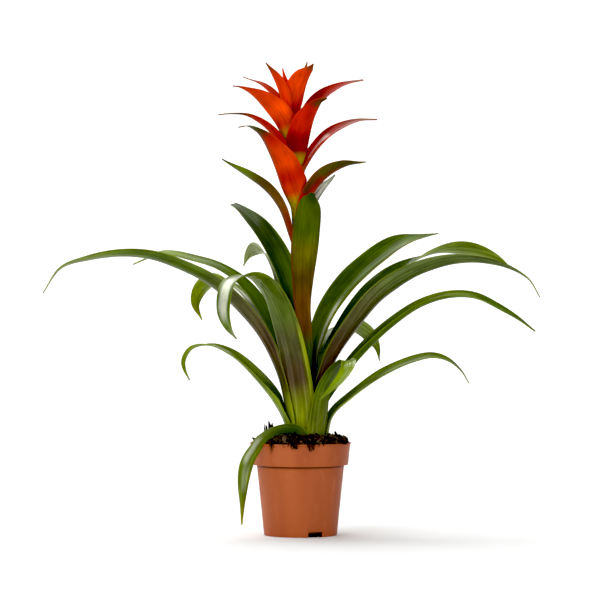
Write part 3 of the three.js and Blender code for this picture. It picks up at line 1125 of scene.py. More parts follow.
@dataclass(frozen=True, kw_only=True)
class Bract(Blade):
    """One bract of the flower head, attached to the stalk at a height."""

    attach: float  # the height of its foot, from which the path's heights count
    hug: float  # how far the base hugs the stalk
    channel: tuple[float, float] = (13, 18)
    skin: BladeFinish = BRACT_SKIN
    slot: Slot = Slot.BRACT_RED

    ALONG: ClassVar[int] = 70
    THICKNESS: ClassVar[float] = 0.7
    OPENING: ClassVar[float] = 0.25
    WAVE: ClassVar[float] = 0.5
    BASE_RADIUS: ClassVar[float] = 5.4
    CONE: ClassVar[float] = 0.15  # how much the base leans out
    WRAP: ClassVar[float] = 3  # the most radians that it may cover

    @cached_property
    def centre(self) -> Vector:
        """The stalk's centre where the bract is attached."""
        return stalk_at(self.attach)

    @property
    def clasp_points(self) -> list[Vector]:
        """The points of the midrib that lie against the stalk."""
        return [
            around(
                self.azimuth,
                self.BASE_RADIUS + self.CONE * self.hug * x,
                self.hug * x,
                self.centre,
            )
            for x in (0, 0.5, 1)
        ]

    @property
    def clasp_length(self) -> float:
        """How far the base hugs the stalk."""
        return self.hug

    def width_limit(self, reach: float) -> float:
        """Returns how wide the base may be for the radians that a bract clasps."""
        return self.WRAP * reach


LEAVES: tuple[StrapLeaf, ...] = (
    StrapLeaf(
        name="leaf_over_rim", tier=9, azimuth=222, root=258, clasp=14, wrap=1.5,
        path=(
            (27.5, 123.5, 248), (37, 127, 234), (50, 124, 222), (68, 114, 219), (77, 103, 218),
            (83, 94, 217), (88, 82, 216.5), (90.5, 65, 216), (91, 42, 215), (91, 16, 213.5),
        ),
        widths=(30, 18, 13, 14, 16, 18, 15, 8, 2),
        rolls=(0, 6, 22, 28, 14, 0),
        channel=(26, 18),
        upper=(
            Tone.LEAF_GREEN, Tone.OLIVE, Tone.OLIVE, Tone.OLIVE, Tone.OLIVE, Tone.FRESH_GREEN,
            Tone.TIP_YELLOW,
        ),
        under=(
            Tone.SHEATH_OLIVE, Tone.LEAF_GREEN, Tone.OLIVE, Tone.OLIVE, Tone.OLIVE, Tone.TIP_YELLOW,
        ),
        # painted highlights on both faces, where wax catches the light
        patches=(
            Patch(Tone.BLOOM, 0.42, 0.6, middle=0.7, width=0.4, strength=0.42),
            Patch(Tone.BLOOM, 0.62, 0.78, middle=0.5, width=0.5, strength=0.2),
        ),
    ),
    StrapLeaf(
        name="leaf_low_right", tier=9, azimuth=8, clasp=22, wrap=1.5,
        path=(
            (31, 140.5), (53, 162), (90, 188.5), (126.5, 205.5), (152, 211.5), (171, 207),
            (187, 194.5), (197, 179),
        ),
        widths=(38, 27, 23, 23, 20, 14, 1),
        rolls=(0, 8, 16, 20, 24, 22),
        channel=(14, 20),
        upper=(Tone.SHEATH_OLIVE, Tone.OLIVE, Tone.OLIVE, Tone.OLIVE, Tone.LEAF_GREEN),
        under=(Tone.SHEATH_OLIVE, Tone.FRESH_GREEN, Tone.OLIVE, Tone.OLIVE, Tone.GREY_GREEN),
        skin=DULL_LEAF_SKIN,
    ),
    StrapLeaf(
        name="leaf_low_left", tier=8, azimuth=186, clasp=30, wrap=1.9,
        path=(
            (39.3, 158.3), (62, 187.6), (89.5, 214), (115, 225), (137, 221), (146, 207), (145, 197),
            (139, 184),
        ),
        widths=(38, 37, 34, 28, 17, 12, 1),
        rolls=(0, -5, -20, -22, -20, 30, 60),
        channel=(13, 16),
        upper=(Tone.SHEATH_YELLOW, Tone.OLIVE, Tone.OLIVE, Tone.OLIVE, Tone.OLIVE, Tone.OLIVE),
        under=(
            Tone.SHEATH_YELLOW, Tone.FRESH_GREEN, Tone.OLIVE, Tone.OLIVE, Tone.FRESH_GREEN,
            Tone.OLIVE,
        ),
        # painted highlights: a broad one on the arch and a thin streak along the blade
        upper_patches=(
            Patch(Tone.BLOOM, 0.6, 0.78, middle=0.5, width=0.5, strength=0.28),
            Patch(Tone.BLOOM, 0.12, 0.45, middle=0.72, width=0.12, strength=0.25),
        ),
    ),
    StrapLeaf(
        name="leaf_front_folded", tier=8, azimuth=308, clasp=38, wrap=1.9,
        path=(
            (36, 172), (56, 196), (77, 208, 308), (91, 202, 302), (99, 186, 292.5), (105, 164, 278),
        ),
        widths=(40, 29, 25, 22, 18, 12, 1),
        channel=(18, 18),
        upper=(
            Tone.LEAF_GREEN, Tone.LEAF_GREEN, Tone.OLIVE, Tone.OLIVE, Tone.FRESH_GREEN, Tone.OLIVE,
        ),
        under=(
            Tone.SHEATH_YELLOW, Tone.SHEATH_OLIVE, Tone.LEAF_GREEN, Tone.DEEP_GREEN, Tone.OLIVE,
            Tone.OLIVE,
        ),
    ),
    StrapLeaf(
        name="leaf_long_left", tier=7, azimuth=191, clasp=60, wrap=1.9,
        path=(
            (34.5, 190), (54.5, 233), (79.5, 265.5), (114.5, 297), (150, 315.5), (186, 328),
            (221, 331), (261, 326), (292.5, 316), (313.5, 287),
        ),
        widths=(40, 35, 35, 33, 30, 23, 2),
        rolls=(0, 0, 20, 18, 16, 14),
        channel=(14, 22),
        upper=(
            Tone.SHEATH_OLIVE, Tone.LEAF_GREEN, Tone.OLIVE, Tone.OLIVE, Tone.OLIVE, Tone.OLIVE,
            Tone.OLIVE,
        ),
        under=(
            Tone.SHEATH_YELLOW, Tone.PURPLE_GREEN, Tone.PURPLE_BROWN, Tone.PURPLE_GREEN,
            Tone.LEAF_GREEN, Tone.LEAF_GREEN, Tone.OLIVE, Tone.OLIVE,
        ),
        patches=(Patch(Tone.YELLOW_GREEN, -0.1, 0.14, width=3.0),),
    ),
    StrapLeaf(
        name="leaf_front_arched", tier=6, azimuth=243, root=250, clasp=55, wrap=1.9,
        path=(
            (32, 197), (45, 226), (63, 257), (86, 283), (118, 301), (155, 306), (194, 295),
            (209, 266, 243.6), (201, 248, 243.9), (178, 235, 243.4),
        ),
        widths=(40, 38, 38, 36, 30, 26, 24, 18, 1),
        channel=(24, 22),
        upper=(
            Tone.SHEATH_OLIVE, Tone.OLIVE, Tone.OLIVE, Tone.OLIVE, Tone.OLIVE, Tone.LEAF_GREEN,
            Tone.OLIVE,
        ),
        under=(
            Tone.SHEATH_YELLOW, Tone.SHEATH_YELLOW, Tone.PURPLE_BROWN, Tone.PURPLE_GREEN, Tone.MOSS,
            Tone.MOSS, Tone.OLIVE, Tone.OLIVE, Tone.OLIVE, Tone.OLIVE,
        ),
        patches=(Patch(Tone.YELLOW_GREEN, 0.13, 0.38, middle=1, width=0.3),),
        # a painted highlight on the hanging part of the upper face
        upper_patches=(Patch(Tone.BLOOM, 0.74, 0.9, middle=0.45, width=0.62, strength=0.8),),
    ),
    StrapLeaf(
        name="leaf_back_low", tier=6, azimuth=92, clasp=35, wrap=1.9,
        path=((42, 160), (80, 180), (125, 184), (170, 160), (198, 122)),
        widths=(40, 32, 28, 24, 18, 1),
        upper=(Tone.SHEATH_OLIVE, Tone.LEAF_GREEN, Tone.OLIVE, Tone.OLIVE),
        under=(Tone.SHEATH_OLIVE, Tone.OLIVE, Tone.GREY_GREEN, Tone.OLIVE),
    ),
    StrapLeaf(
        name="leaf_mid_right", tier=5, azimuth=355, clasp=48, wrap=1.9,
        path=(
            (40.5, 180), (66.5, 213.3), (101, 246.5), (136, 271), (170, 282), (200, 281.5),
            (229, 269), (251, 257), (271, 242),
        ),
        widths=(44, 37, 36, 34, 30, 26, 17, 2),
        rolls=(0, 0, 12, 14, 14, 20, 28),
        channel=(13, 16),
        upper=(
            Tone.SHEATH_OLIVE, Tone.OLIVE, Tone.LEAF_GREEN, Tone.LEAF_GREEN, Tone.OLIVE,
            Tone.LEAF_GREEN, Tone.LEAF_GREEN,
        ),
        under=(
            Tone.SHEATH_OLIVE, Tone.DEEP_GREEN, Tone.LEAF_GREEN, Tone.LEAF_GREEN, Tone.LEAF_GREEN,
            Tone.OLIVE, Tone.LEAF_GREEN,
        ),
        skin=DULL_LEAF_SKIN,
    ),
    StrapLeaf(
        name="leaf_back_left_droop", tier=5, azimuth=149, clasp=60, wrap=1.7,
        path=(
            (28, 195), (44, 231), (64, 260), (80, 277), (95, 290), (124, 303), (149, 291),
            (157, 274), (148, 255),
        ),
        widths=(36, 25, 24, 26, 27, 28, 1),
        rolls=(0, 0, 0, 0, 20, 30),
        channel=(26, 24),
        upper=(
            Tone.SHEATH_OLIVE, Tone.DEEP_GREEN, Tone.LEAF_GREEN, Tone.GREY_GREEN, Tone.FRESH_GREEN,
            Tone.TIP_YELLOW,
        ),
        under=(
            Tone.SHEATH_OLIVE, Tone.OLIVE, Tone.OLIVE, Tone.OLIVE, Tone.FRESH_GREEN,
            Tone.FRESH_GREEN, Tone.TIP_YELLOW,
        ),
        # a painted highlight on the bend
        upper_patches=(Patch(Tone.BLOOM, 0.62, 0.76, strength=0.6),),
    ),
    StrapLeaf(
        name="leaf_back_hidden", tier=4, azimuth=86, clasp=64, wrap=1.5,
        path=((34, 196), (64, 223), (112, 234), (160, 216), (192, 172)),
        widths=(20, 22, 28, 25, 20, 1),
        upper=(Tone.SHEATH_OLIVE, Tone.LEAF_GREEN, Tone.LEAF_GREEN, Tone.OLIVE),
        under=(Tone.SHEATH_OLIVE, Tone.OLIVE, Tone.GREY_GREEN, Tone.OLIVE),
    ),
    StrapLeaf(
        name="leaf_long_right", tier=3, azimuth=345, clasp=65, wrap=1.9,
        path=(
            (32.5, 205), (57, 244.5), (91.5, 286), (138, 314.5), (186, 326), (234, 320.5),
            (267, 304), (281, 282),
        ),
        widths=(38, 37, 36, 33, 28, 20, 12, 1),
        rolls=(0, 0, -22, -36, -38, -30, -20),
        channel=(18, 24),
        upper=(
            Tone.SHEATH_OLIVE, Tone.LEAF_GREEN, Tone.LEAF_GREEN, Tone.OLIVE, Tone.OLIVE, Tone.OLIVE,
        ),
        under=(
            Tone.SHEATH_OLIVE, Tone.PURPLE_BROWN, Tone.PURPLE_BROWN, Tone.PURPLE_GREEN,
            Tone.GREY_GREEN, Tone.GREY_GREEN, Tone.GREY_GREEN, Tone.OLIVE,
        ),
    ),
    StrapLeaf(
        name="leaf_left_dark", tier=3, azimuth=166, clasp=65, wrap=1.9,
        path=(
            (24, 196), (43, 246), (73, 292), (106, 316), (144, 328), (180, 335), (200, 328),
            (215, 322),
        ),
        widths=(38, 30, 30, 27, 24, 23, 7),
        rolls=(0, 0, -25, -20, -15, -15),
        channel=(16, 24),
        upper=(
            Tone.SHEATH_OLIVE, Tone.DEEP_GREEN, Tone.DEEP_GREEN, Tone.LEAF_GREEN, Tone.LEAF_GREEN,
            Tone.OLIVE, Tone.OLIVE,
        ),
        under=(Tone.SHEATH_OLIVE, Tone.LEAF_GREEN, Tone.LEAF_GREEN, Tone.OLIVE, Tone.OLIVE),
        skin=DULL_LEAF_SKIN,
    ),
    StrapLeaf(
        name="leaf_back_right_short", tier=2, azimuth=54, clasp=65, wrap=1.6,
        path=(
            (24, 195), (41, 225), (65, 243), (93, 248), (120, 241), (137, 231), (149, 220),
            (153.5, 204),
        ),
        widths=(34, 30, 28, 26, 24, 20, 1),
        rolls=(0, 0, 0, -30, -30),
        upper=(Tone.FRESH_GREEN, Tone.OLIVE, Tone.LEAF_GREEN, Tone.OLIVE, Tone.OLIVE),
        under=(Tone.FRESH_GREEN, Tone.OLIVE, Tone.LEAF_GREEN, Tone.OLIVE, Tone.OLIVE),
    ),
    StrapLeaf(
        name="leaf_right_upper", tier=1, azimuth=18, clasp=75, wrap=1.7,
        path=(
            (22, 205), (51, 248), (82, 287), (112, 311), (143, 328.5), (178, 339), (215, 338),
            (244, 330), (261, 319),
        ),
        widths=(34, 26, 25, 29, 27, 24, 24, 1),
        rolls=(0, 0, 10, 40, 45, -10, -42, -40),
        channel=(16, 24),
        upper=(
            Tone.FRESH_GREEN, Tone.FRESH_GREEN, Tone.OLIVE, Tone.LEAF_GREEN, Tone.LEAF_GREEN,
            Tone.OLIVE, Tone.OLIVE,
        ),
        under=(
            Tone.SHEATH_OLIVE, Tone.LEAF_GREEN, Tone.OLIVE, Tone.FRESH_GREEN, Tone.OLIVE,
            Tone.OLIVE,
        ),
    ),
    StrapLeaf(
        name="leaf_back_left_curl", tier=1, azimuth=122, clasp=80, wrap=1.7,
        path=(
            (18, 220), (32, 269), (51, 291), (69, 315), (90, 332), (113, 340), (134, 334.5),
            (145.5, 321),
        ),
        widths=(32, 28, 26, 26, 29, 31, 1),
        rolls=(0, 0, 0, 0, 25, 45),
        upper=(
            Tone.SHEATH_OLIVE, Tone.DEEP_GREEN, Tone.DEEP_GREEN, Tone.PALE_OLIVE, Tone.PALE_OLIVE,
        ),
        under=(
            Tone.SHEATH_OLIVE, Tone.LEAF_GREEN, Tone.LEAF_GREEN, Tone.PALE_OLIVE, Tone.PALE_OLIVE,
        ),
    ),
    StrapLeaf(
        name="leaf_right_tall", tier=0, azimuth=28, clasp=85, wrap=1.7,
        path=((14, 222), (29, 261), (57, 297), (89.5, 323.5), (129, 348), (160, 356.5), (182, 360)),
        widths=(32, 26, 28, 34, 36, 31, 1),
        rolls=(0, 0, 20, 30, 28, 20),
        channel=(16, 26),
        upper=(
            Tone.YELLOW_OLIVE, Tone.FRESH_GREEN, Tone.OLIVE, Tone.OLIVE, Tone.LEAF_GREEN,
            Tone.LEAF_GREEN, Tone.LEAF_GREEN, Tone.LEAF_GREEN,
        ),
        under=(Tone.SHEATH_OLIVE, Tone.OLIVE, Tone.GREY_GREEN, Tone.OLIVE, Tone.OLIVE),
        patches=(Patch(Tone.YELLOW_OLIVE, 0.1, 0.9, middle=0, width=0.36),),
        # a painted highlight streak along the hollow of the upper face
        upper_patches=(Patch(Tone.BLOOM, 0.27, 0.52, middle=0.34, width=0.18, strength=0.7),),
        skin=DULL_LEAF_SKIN,
    ),
    StrapLeaf(
        name="leaf_left_tall", tier=0, azimuth=135, clasp=90, wrap=1.7,
        path=((13, 231), (17, 261), (28, 292), (51, 333), (81, 367), (112.5, 390), (126, 396)),
        widths=(32, 30, 30, 31, 33, 34, 33, 26, 9),
        rolls=(0, 0, -12, -16, -16),
        channel=(16, 26),
        upper=(
            Tone.SHEATH_OLIVE, Tone.DEEP_GREEN, Tone.DEEP_GREEN, Tone.LEAF_GREEN, Tone.DEEP_GREEN,
            Tone.DEEP_GREEN,
        ),
        under=(Tone.SHEATH_OLIVE, Tone.OLIVE, Tone.GREY_GREEN, Tone.OLIVE, Tone.OLIVE),
        skin=DULL_LEAF_SKIN,
    ),
)

BRACTS: tuple[Bract, ...] = (
    Bract(
        name="scape_leaf_front", attach=192, azimuth=262, hug=40,
        path=(
            (13, 80, 241), (14.5, 115, 243), (18, 145, 253), (25, 175, 265), (36, 201, 273),
            (54, 213, 276),
        ),
        widths=(12, 14, 17, 21, 28, 36, 37, 30, 5),
        channel=(18, 22),
        upper=(Tone.OLIVE, Tone.OLIVE, Tone.OLIVE, Tone.LEAF_GREEN),
        under=(
            Tone.SHEATH_OLIVE, Tone.LEAF_GREEN, Tone.RUST, Tone.RUST, Tone.RUST_OLIVE,
            Tone.YELLOW_OLIVE, Tone.SCAPE_GREEN, Tone.SCAPE_GREEN, Tone.DEEP_GREEN,
        ),
        patches=(Patch(Tone.BROWN_RED, 0.12, 0.75, middle=0, width=0.14),),
        skin=GREEN_BRACT_SKIN,
        slot=Slot.BRACT_GREEN,
    ),
    Bract(
        name="bract_low_left", attach=316, azimuth=195, hug=22,
        path=((14.5, 40.5), (26, 71.5), (42, 93), (65, 110.5), (96, 129)),
        widths=(16, 21, 26, 26, 18, 1),
        rolls=(0, 0, 16, 20),
        upper=(Tone.RUST, Tone.OLIVE, Tone.OLIVE, Tone.LEAF_GREEN, Tone.GREY_GREEN),
        under=(
            Tone.BROWN_RED, Tone.BROWN_RED, Tone.BROWN_RED, Tone.RUST, Tone.RUST_OLIVE, Tone.OLIVE,
            Tone.LEAF_GREEN,
        ),
        skin=GREEN_BRACT_SKIN,
        slot=Slot.BRACT_GREEN,
    ),
    Bract(
        name="bract_low_back", attach=328, azimuth=88, hug=20,
        path=((18, 46), (42, 70), (68, 80)),
        widths=(13, 15, 22, 22, 12, 1),
        upper=(Tone.RUST_OLIVE, Tone.OLIVE, Tone.OLIVE, Tone.GREY_GREEN),
        under=(Tone.RUST, Tone.OLIVE, Tone.OLIVE, Tone.LEAF_GREEN),
        skin=GREEN_BRACT_SKIN,
        slot=Slot.BRACT_GREEN,
    ),
    Bract(
        name="bract_pale_back", attach=342, azimuth=44, hug=20,
        path=((19, 45), (37.5, 68.5), (59.5, 87.5)),
        widths=(18, 26, 33, 30, 18, 2),
        upper=(Tone.OLIVE, Tone.GREY_GREEN, Tone.PALE_GREY, Tone.GREY_GREEN),
        under=(Tone.OLIVE, Tone.GREY_GREEN, Tone.PALE_GREY, Tone.GREY_GREEN),
        patches=(
            Patch(Tone.GREY_GREEN, 0.3, 1.1, middle=0, width=0.24),
            Patch(Tone.GREY_GREEN, 0.3, 1.1, middle=0.34, width=0.14, strength=0.7),
            Patch(Tone.GREY_GREEN, 0.3, 1.1, middle=0.66, width=0.14, strength=0.7),
            Patch(Tone.GREY_GREEN, 0.3, 1.1, middle=1, width=0.24),
        ),
        skin=GREEN_BRACT_SKIN,
        slot=Slot.BRACT_GREEN,
    ),
    Bract(
        name="bract_low_right", attach=360, azimuth=335, hug=22,
        path=((16, 40.5), (36.8, 64.5), (61, 77.5), (88, 81)),
        widths=(17, 27, 33, 32, 20, 1),
        rolls=(0, 0, -12, -20),
        upper=(Tone.RED, Tone.ORANGE_RED, Tone.OLIVE, Tone.LEAF_GREEN, Tone.OLIVE),
        under=(
            Tone.ORANGE_RED, Tone.RED, Tone.RED, Tone.BROWN_RED, Tone.BROWN_RED, Tone.RUST_OLIVE,
            Tone.OLIVE,
        ),
        patches=(
            Patch(Tone.RUST_OLIVE, 0.34, 1.0, middle=0, width=0.6, strength=0.9),
            Patch(Tone.PURPLE_GREEN, 0.56, 1.0, middle=0.15, width=0.8, strength=0.8),
        ),
    ),
    Bract(
        name="bract_front_left", attach=374, azimuth=229, hug=14,
        path=((20.5, 40), (37.5, 71), (56.5, 95), (69, 102.5), (86.5, 107.5), (103, 105.5)),
        widths=(26, 54, 58, 46, 25, 12, 3),
        channel=(17, 18),
        upper=(Tone.ORANGE_RED, Tone.ORANGE_RED, Tone.ORANGE_RED, Tone.RUST_OLIVE, Tone.GREY_GREEN),
        under=(
            Tone.YELLOW_BASE, Tone.YELLOW_BASE, Tone.ORANGE_RED, Tone.RED, Tone.ORANGE_RED,
            Tone.ORANGE_RED, Tone.RED, Tone.RUST_OLIVE, Tone.GREY_GREEN, Tone.GREY_GREEN,
        ),
        patches=(Patch(Tone.PURPLE_BROWN, 0.44, 0.9, middle=0, width=0.9, strength=0.75),),
    ),
    Bract(
        name="bract_left_long", attach=387, azimuth=186, hug=20,
        path=((16, 50), (21, 75), (36, 96), (58, 110.5), (78, 112.5), (93, 111)),
        widths=(15, 22, 28, 30, 20, 7, 1),
        rolls=(0, 0, 15, 15),
        upper=(Tone.RED, Tone.RED, Tone.ORANGE_RED, Tone.RED, Tone.RED, Tone.GREY_GREEN),
        under=(
            Tone.YELLOW_BASE, Tone.ORANGE_RED, Tone.RED, Tone.RED, Tone.RED, Tone.RED,
            Tone.RUST_OLIVE, Tone.GREY_GREEN,
        ),
    ),
    Bract(
        name="bract_back_a", attach=397, azimuth=82, hug=20,
        path=((18, 44), (38, 66), (62, 76)),
        widths=(12, 13, 22, 24, 14, 1),
        upper=(Tone.RED, Tone.RED, Tone.ORANGE_RED, Tone.RUST_OLIVE),
        under=(Tone.YELLOW_BASE, Tone.RED, Tone.RED, Tone.RUST_OLIVE),
    ),
    Bract(
        name="bract_right_shiny", attach=408, azimuth=22, hug=18,
        path=((20, 40), (43, 67), (63, 79.5), (82, 86), (105, 87.5)),
        widths=(22, 28, 29, 26, 19, 10, 3),
        rolls=(0, 0, 22, 20),
        upper=(Tone.DEEP_RED, Tone.RED, Tone.RED, Tone.DEEP_RED, Tone.BROWN_RED, Tone.RUST_OLIVE),
        under=(Tone.YELLOW_BASE, Tone.RED, Tone.RED, Tone.RED, Tone.RUST_OLIVE),
        # a painted pink highlight inside the bract
        upper_patches=(Patch(Tone.PINK_SHINE, 0.3, 0.54, middle=0.55, width=0.42, strength=0.85),),
        skin=SHINY_BRACT_SKIN,
    ),
    Bract(
        name="bract_front_right", attach=420, azimuth=303, hug=18,
        path=((15, 48), (28, 75), (42, 91.5, 307), (53, 96.5, 313)),
        widths=(16, 30, 41, 41, 34, 20, 3),
        channel=(15, 18),
        upper=(Tone.RED, Tone.RED, Tone.ORANGE, Tone.ORANGE_RED, Tone.RED, Tone.RUST_OLIVE),
        under=(
            Tone.YELLOW_BASE, Tone.YELLOW_BASE, Tone.YELLOW_BASE, Tone.DEEP_RED, Tone.DEEP_RED,
            Tone.RED, Tone.RED, Tone.RED, Tone.BROWN_RED, Tone.RUST_OLIVE,
        ),
        patches=(Patch(Tone.RUST_OLIVE, 0.84, 1.0, middle=0.7, width=0.8, strength=0.8),),
    ),
    Bract(
        name="bract_back_b", attach=430, azimuth=112, hug=18,
        path=((16, 42), (30, 56), (44, 60)),
        widths=(13, 18, 26, 24, 14, 1),
        upper=(Tone.RED, Tone.RED, Tone.ORANGE_RED, Tone.RED),
        under=(Tone.YELLOW_BASE, Tone.RED, Tone.RED, Tone.RED),
    ),
    Bract(
        name="bract_left_front", attach=440, azimuth=214, hug=18,
        path=((20, 44), (37, 64.5), (56, 81), (76, 88.5), (88, 89.5)),
        widths=(16, 31, 44, 44, 30, 12, 1),
        rolls=(0, 5, 12, 15, 15, 10),
        channel=(16, 18),
        upper=(Tone.RED, Tone.ORANGE, Tone.ORANGE_RED, Tone.RED, Tone.RUST_OLIVE),
        under=(
            Tone.YELLOW_BASE, Tone.YELLOW_BASE, Tone.YELLOW_BASE, Tone.ORANGE_RED, Tone.ORANGE,
            Tone.ORANGE_RED, Tone.ORANGE_RED, Tone.ORANGE_RED, Tone.RUST_OLIVE,
        ),
    ),
    Bract(
        name="bract_right_thin", attach=450, azimuth=12, hug=16,
        path=((18, 47), (34, 70), (51, 82), (65, 87.5), (84, 91.5)),
        widths=(16, 22, 31, 28, 20, 10, 3),
        rolls=(0, 0, 28, 30, 20),
        upper=(Tone.RED, Tone.ORANGE_RED, Tone.RED, Tone.DEEP_RED, Tone.DEEP_RED, Tone.RUST),
        under=(Tone.YELLOW_BASE, Tone.ORANGE_RED, Tone.ORANGE_RED, Tone.RED, Tone.RUST),
    ),
    Bract(
        name="bract_back_c", attach=459, azimuth=85, hug=16,
        path=((17, 40), (34, 54)),
        widths=(8, 11, 19, 14, 1),
        upper=(Tone.RED, Tone.ORANGE_RED, Tone.RED),
        under=(Tone.YELLOW_BASE, Tone.RED, Tone.RED),
    ),
    Bract(
        name="bract_left_thin", attach=467, azimuth=150, hug=14,
        path=((17, 42), (42, 67.5), (70, 79.5)),
        widths=(5, 9, 20, 22, 16, 1),
        upper=(Tone.RED, Tone.RED, Tone.RED, Tone.RUST_OLIVE),
        under=(Tone.ORANGE_RED, Tone.RED, Tone.RED, Tone.RUST_OLIVE),
    ),
    Bract(
        name="bract_top_left", attach=476, azimuth=224, hug=14,
        path=((15, 42), (29.5, 68.5), (44, 82.5)),
        widths=(9, 13, 21, 16, 1),
        channel=(12, 14),
        upper=(Tone.RED, Tone.ORANGE_RED, Tone.ORANGE_RED, Tone.RUST),
        under=(Tone.ORANGE_RED, Tone.ORANGE_RED, Tone.ORANGE, Tone.ORANGE_RED, Tone.RUST),
    ),
    Bract(
        name="bract_top_right", attach=484, azimuth=306, hug=14,
        path=((14, 38), (26, 59), (38, 73, 311)),
        widths=(13, 24, 34, 37, 26, 1),
        channel=(13, 15),
        upper=(Tone.RED, Tone.ORANGE, Tone.ORANGE, Tone.ORANGE_RED),
        under=(Tone.DEEP_RED, Tone.RED, Tone.ORANGE_RED, Tone.ORANGE, Tone.ORANGE_RED, Tone.RUST),
    ),
    Bract(
        name="bract_top_spike_right", attach=492, azimuth=40, hug=14,
        path=((12, 36), (24, 71)),
        widths=(10, 16, 19, 13, 1),
        channel=(11, 12),
        upper=(Tone.RED, Tone.ORANGE_RED, Tone.RED, Tone.RUST),
        under=(Tone.RED, Tone.RED, Tone.RED, Tone.RUST),
    ),
    Bract(
        name="bract_top_spike_left", attach=500, azimuth=140, hug=14,
        path=((8, 32), (13, 55)),
        widths=(9, 13, 15, 9, 1),
        channel=(10, 12),
        upper=(Tone.RED, Tone.ORANGE, Tone.ORANGE, Tone.ORANGE_RED),
        under=(Tone.RED, Tone.RED, Tone.ORANGE_RED, Tone.ORANGE_RED),
    ),
    Bract(
        name="bract_heart", attach=507, azimuth=286, hug=12,
        path=((9, 26), (16, 42, 291)),
        widths=(8, 11, 12, 7, 1),
        channel=(9, 10),
        upper=(Tone.RED, Tone.ORANGE_RED, Tone.RED),
        under=(Tone.RED, Tone.ORANGE_RED, Tone.RED),
    ),
)


# ---------------------------------------------------------------- pot, soil and stalk


@dataclass(frozen=True)
class NurseryPot:
    """A turned pot with a stacking collar, a raised ring in its base and slots at its foot."""

    rim: float = 60.0
    height: float = 110.0
    wall: float = 1.1
    foot: float = 43.4
    wall_top: float = 51.9
    collar: float = 56.6
    collar_bottom: float = 83.5
    ring: tuple[float, float] = (16.0, 33.0)  # radii of the part of the base that is raised
    raised: float = 2.5
    slots: int = 3
    slot_width: float = 18.0
    slot_height: float = 6.4
    slot_length: float = 16.0
    first_slot: float = 294.0
    steps: int = 144
    crisp_degrees: float = 40.0

    @property
    def profile(self) -> list[tuple[float, float]]:
        """The wall's outline as radius and height, from the middle of the base round and back.

        The small steps beside a size are the rounding of an edge, as on a mould.
        """
        rim, top, w, low = self.rim, self.height, self.wall, self.collar_bottom
        inner, outer = self.ring
        return [
            (0, 0), (inner - 2, 0), (inner, self.raised), (outer, self.raised), (outer + 2.5, 0),
            (self.foot - 1, 0), (self.foot - 0.3, 0.35), (self.foot, 1.2),
            (self.wall_top, low), (self.collar - 0.7, low), (self.collar - 0.2, low + 0.2),
            (self.collar, low + 0.8), (rim - 1, top - 2.2), (rim - 0.25, top - 1.9),
            (rim, top - 1.4), (rim, top - 0.7), (rim - 0.3, top - 0.2), (rim - 0.8, top),
            (rim - 1.3, top - 0.05), (rim - 1.7, top - 0.3), (rim - 1 - w, top - 2.2),
            (self.collar - w, low + w), (self.wall_top - w, low + w),
            (self.foot - w, 2.4), (self.foot - 2.2, w), (outer + 3.2, w),
            (outer + 0.7, self.raised + w), (inner - 0.7, self.raised + w), (inner - 2.7, w),
            (0, w),
        ]

    def build(self) -> bpy.types.Object:
        """Models and dresses the pot and puts it in its CAD node's place.

        Returns:
            The finished piece.
        """
        bm = bmesh.new()
        outline = [bm.verts.new((r * MM, 0, z * MM)) for r, z in self.profile]
        edges = [bm.edges.new(pair) for pair in zip(outline, outline[1:])]
        bmesh.ops.spin(
            bm,
            geom=[*outline, *edges],
            cent=(0, 0, 0),
            axis=(0, 0, 1),
            angle=2 * math.pi,
            steps=self.steps,
            use_merge=True,
        )
        bmesh.ops.remove_doubles(bm, verts=bm.verts[:], dist=1e-6)
        bmesh.ops.recalc_face_normals(bm, faces=bm.faces[:])
        piece = finish_mesh(bm, "nursery_pot", POT_PLASTIC.material, self.crisp_degrees)
        self._cut_slots(piece)
        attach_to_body(piece, BODY)
        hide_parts("pot")
        return piece

    def _cut_slots(self, piece: bpy.types.Object) -> None:
        """Cuts the drain slots through the foot.

        Args:
            piece: The turned pot.
        """
        bm = bmesh.new()
        sizes = (self.slot_length, self.slot_width, 2 * self.slot_height)
        size = Matrix.Diagonal((*(x * MM for x in sizes), 1))
        away = Matrix.Translation(((self.foot + 2 - self.slot_length / 2) * MM, 0, 0))
        for i in range(self.slots):
            turn = Matrix.Rotation(math.radians(self.first_slot + i * 360 / self.slots), 4, "Z")
            bmesh.ops.create_cube(bm, size=1, matrix=turn @ away @ size)
        cutter = finish_mesh(bm, "slot_cutter", POT_PLASTIC.material)
        cut = piece.modifiers.new("slots", "BOOLEAN")
        cut.operation = "DIFFERENCE"
        cut.solver = "EXACT"
        cut.object = cutter
        bpy.context.view_layer.update()
        bake_modifiers(piece)
        piece.data.set_sharp_from_angle(angle=math.radians(self.crisp_degrees))
        bpy.data.objects.remove(cutter)


